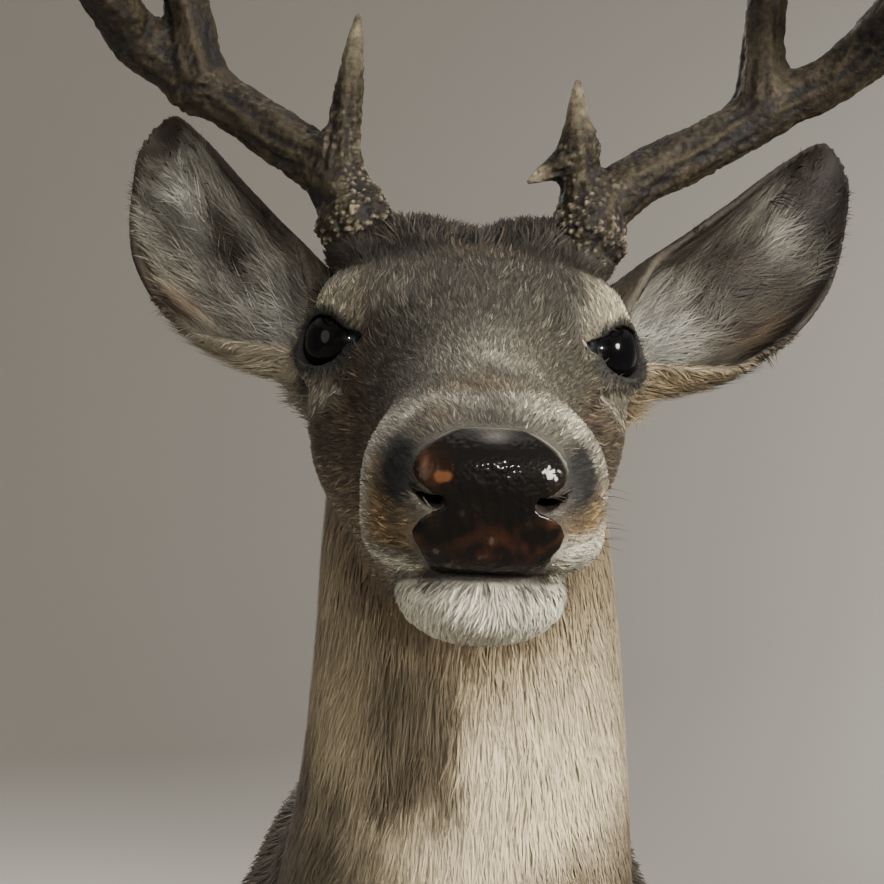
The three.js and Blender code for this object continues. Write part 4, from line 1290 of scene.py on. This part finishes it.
def studio():
    """A pale round floor that curves up into a wall on every side, and soft lamps."""
    flat = np.linspace(STUDIO["hole"], STUDIO["flat"], 24)
    bend = np.linspace(0.05, np.pi / 2, 24)
    curl = STUDIO["curl"]
    radii = np.concatenate([flat, STUDIO["flat"] + curl * np.sin(bend), np.full(8, STUDIO["flat"] + curl)])
    heights = np.concatenate([np.zeros(24), curl * (1 - np.cos(bend)), np.linspace(2.1, STUDIO["top"], 8)])
    around = np.linspace(0, 2 * np.pi, STUDIO["sides"], endpoint=False)
    x, y = radii[:, None] * np.cos(around), radii[:, None] * np.sin(around) + STUDIO["ahead"]
    points = np.stack([x, y, (heights + STUDIO["floor"])[:, None] + 0 * around], -1).reshape(-1, 3) / MM
    quads = grid_quads(len(radii), STUDIO["sides"])[:, [0, 3, 2, 1]]
    paint = material("Studio", Base_Color=(0.50, 0.475, 0.43, 1), Roughness=0.95)[0]
    mesh_object("studio_floor", points, quads, paint)
    for name, at, target, size, spread, colour, power in LAMPS:
        lamp = bpy.data.objects.new(name, bpy.data.lights.new(name, "AREA"))
        lamp.data.shape, lamp.data.size, lamp.data.energy = "DISK", size, power
        lamp.data.spread, lamp.data.color = np.radians(spread), colour
        lamp.matrix_world = aimed(at, np.array(at) - np.array(target), (0, 0, 1))
        bpy.context.collection.objects.link(lamp)
    world = bpy.data.worlds.new("World")
    world.use_nodes = True
    set_sockets(world.node_tree.nodes["Background"], {"Color": (1.0, 0.97, 0.91, 1), "Strength": 0.41})
    bpy.context.scene.world = world


STUDIO = {"hole": 0.001, "flat": 2.6, "curl": 1.9, "top": 3.6, "floor": -0.32, "ahead": -0.2, "sides": 128}
FACE_AT = (0, -0.33, 0.22)
NECK_AT = (0.06, -0.33, 0.08)
WARM, PLAIN = (1.0, 0.95, 0.86), (1.0, 0.98, 0.95)
LAMPS = [  # name, place, aim, size, spread in degrees, colour and power
    ("key", (1.6, -1.8, 0.95), NECK_AT, 0.6, 40, WARM, 6.4),
    ("fill", (-1.7, -1.7, 0.8), FACE_AT, 1.4, 180, PLAIN, 10.0),
    ("spark", (0.10, -1.10, 0.44), FACE_AT, 0.024, 180, PLAIN, 2.2),
    ("top", (0.1, -0.3, 2.5), FACE_AT, 1.6, 180, PLAIN, 10.0),
    ("back", (-0.9, 2.0, 1.5), FACE_AT, 1.6, 180, PLAIN, 30.0),
    ("backdrop", (2.2, 1.6, 0.9), (2.3, 4.3, 0.5), 1.2, 180, PLAIN, 44.0),
]


def camera():
    """The photograph's view: looking along +Y, tipped up and rolled a little."""
    pitch, roll = np.radians(CAMERA["up"]), np.radians(CAMERA["roll"])
    forward = np.array([0, np.cos(pitch), np.sin(pitch)])
    level_up = np.array([0, -np.sin(pitch), np.cos(pitch)])
    right = np.cos(roll) * np.array([1, 0, 0]) + np.sin(roll) * level_up
    up = -np.sin(roll) * np.array([1, 0, 0]) + np.cos(roll) * level_up
    made = bpy.data.objects.new("camera", bpy.data.cameras.new("camera"))
    made.data.lens, made.data.sensor_width = CAMERA["lens"], 36.0
    turned = np.column_stack([right, up, -forward, np.array(CAMERA["at"]) * MM])
    made.matrix_world = Matrix(turned.tolist() + [[0, 0, 0, 1]])
    bpy.context.collection.objects.link(made)
    bpy.context.scene.camera = made


# ---- The mount ----
def skin():
    """The hide itself: flesh tones and markings, with painted shade darkening the eye sockets and the insides
    of the nostrils and mouth.
    """
    xs = lines_of((-206, -78, 1.9), (-78, 78, 1.55), (78, 208, 1.9))
    ys = lines_of((-514, -300, 1.55), (-300, -186, 2.0), (-186, 10, 3.8))
    zs = lines_of((-190, 166, 3.8), (166, 345, 1.55), (345, 480, 1.9))
    points, quads = contour(skin_field, xs, ys, zs)
    place = surroundings(points)
    q = place["q"]
    reach = np.linalg.norm(mirrored(q) - EYE_AT, axis=-1)
    # Painted shade: the skin round each glass eye and the deep insides of the nostrils, mouth and lid
    # openings are painted near black, and all the skin is darkened by SKIN_SHADE as painted shade between the
    # tufts.
    socket = 1 - ramp(reach, EYE["r"] + 0.9, EYE["r"] + 1.6)
    opening = (smooth_skin(points) < -1.6) & (q[:, 1] < 300) & (q[:, 1] > -20) & (socket < 0.1)
    colours = over(markings(points, place) * SKIN_SHADE, socket, np.array((0.012, 0.011, 0.011)))
    colours = np.where(opening[:, None], np.array((0.02, 0.012, 0.01)), colours)
    hide = painted("Hide", tick=0.35, bump=0.5, bump_scale=800.0, depth=0.0008, Roughness=0.75)
    piece = mesh_object("skin", points, quads, hide, colours)
    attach(piece, "root")
    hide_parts("head", "muzzle", "lower_jaw", "neck", "shoulders", "ear_left", "ear_right")
    return points, quads, vertex_normals(points, quads), place


def coat(points, quads, normals, place, material):
    """Tufts over the whole skin, in pieces by region."""
    root, normal = scatter(points, quads, normals, COAT_TABLE[kind_of(place), 0])
    keep = ~bald(root, to_head(root)) & (smooth_skin(root) > -1.5)
    root, normal = root[keep], normal[keep]
    place = surroundings(root)
    kind = kind_of(place)
    for name, group in coat_groups(root, place, kind):
        part = {key: value[group] for key, value in place.items() if key not in (1, -1)}
        for k in (1, -1):
            part[k] = {key: value[group] for key, value in place[k].items()}
        tufts(name, root[group], normal[group], part, kind[group], material)


def coat_groups(root, place, kind):
    """Splits the roots into pieces by region, each short of the limit on triangles."""
    cost = np.where(is_kind(kind, *LONG), len(tuft_faces(2)), len(tuft_faces(1)))
    region = np.where(place["on_head"] > 0.5, 0, 3)
    region[is_kind(kind, "shoulders")] = 4
    on_ear = place["on_ear"] > 0.5
    region[on_ear] = np.where(root[on_ear, 0] > 0, 1, 2)
    groups = []
    for i, label in enumerate(("head", "ear_left", "ear_right", "neck", "shoulders")):
        members = np.nonzero(region == i)[0]
        members = members[np.argsort(root[members, 1], kind="stable")]
        total = cost[members].sum()
        shares = np.linspace(0, total, int(np.ceil(total / PIECE_LIMIT)) + 1)[1:-1]
        for j, group in enumerate(np.split(members, np.searchsorted(np.cumsum(cost[members]), shares))):
            groups.append(("coat_%s_%d" % (label, j + 1), group))
    return groups


def lashes(material):
    """Lashes along the upper lids, longest in the middle."""
    hairs = []
    for k in (1, -1):
        centre, gaze, level, high = eye_frame(k)
        for angle in np.radians(np.linspace(14, 168, 70)):
            radial = np.cos(angle) * level + np.sin(angle) * high
            edge = level * 15.2 * np.cos(angle) + high * (11.4 * np.sin(angle) - 0.6)
            at = centre + edge + gaze * np.sqrt((EYE["r"] + 1.4) ** 2 - edge @ edge)
            hairs.append((from_head(at), HEAD_TURN @ unit(gaze * 0.75 + radial * 0.75),
                          HEAD_TURN @ (high * 0.32 + radial * 0.05),
                          RNG.uniform(7, 11.5) * (0.55 + 0.45 * np.sin(angle))))
    bristles("lashes", hairs, 0.42, (0.012, 0.01, 0.009), material)


def side_hairs(name, count, place, way, stray, bend, lengths, width, colour, material):
    """Stiff hairs on both sides of the face, each rooted on the flesh at a place s back and w up."""
    hairs = []
    for k in (1, -1):
        for _ in range(count):
            at = np.array([k * 60.0, *place()])
            for _ in range(14):
                at[0] -= k * max(float(bare_field(at[None])[0]), -4) * 0.9
            out = unit(np.array(way) * [k, 1, 1] + RNG.normal(size=3) * stray)
            hairs.append((from_head(at), HEAD_TURN @ out, HEAD_TURN @ np.array(bend), RNG.uniform(*lengths)))
    bristles(name, hairs, width, colour, material)


def whisker_place():
    return RNG.uniform(18, 62), RNG.uniform(-8, 22)


def mouth_corner_place():
    s = RNG.uniform(34, 86)
    return s, MOUTH_LINE(s) - RNG.uniform(0.6, 6)


fur = painted("Coat", Roughness=0.6, Specular_IOR_Level=0.3)
coat(*skin(), fur)
lashes(fur)
side_hairs("whiskers", 16, whisker_place, (0.9, 0.5, -0.1), 0.15, (0, 0.25, -0.25), (7, 15), 0.28,
           (0.02, 0.017, 0.014), fur)
side_hairs("mouth_corner_hair", 150, mouth_corner_place, (0.45, 0.6, -0.35), 0.2, (0, 0.15, -0.35),
           (3.5, 6.5), 0.45, (0.026, 0.022, 0.016), fur)
nose_pad(painted("Nose", bump=0.4, bump_scale=820.0, cells=True, depth=0.0004, Roughness=0.36,
                 Specular_IOR_Level=0.03, Coat_Weight=0.24, Coat_Roughness=0.09))
glass = painted("Glass eye", Roughness=0.2, Specular_IOR_Level=0.03, Coat_Weight=0.28, Coat_Roughness=0.015)
bone = painted("Antler", tick=0.45, tick_scale=420.0, bump=0.85, bump_scale=330.0, depth=0.0014,
               Roughness=0.62, Specular_IOR_Level=0.25)
for side in ("left", "right"):
    eye(side, glass)
    antler(side, bone)
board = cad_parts["backboard"]
board.data.materials.clear()
board.data.materials.append(plywood())
studio()
camera()
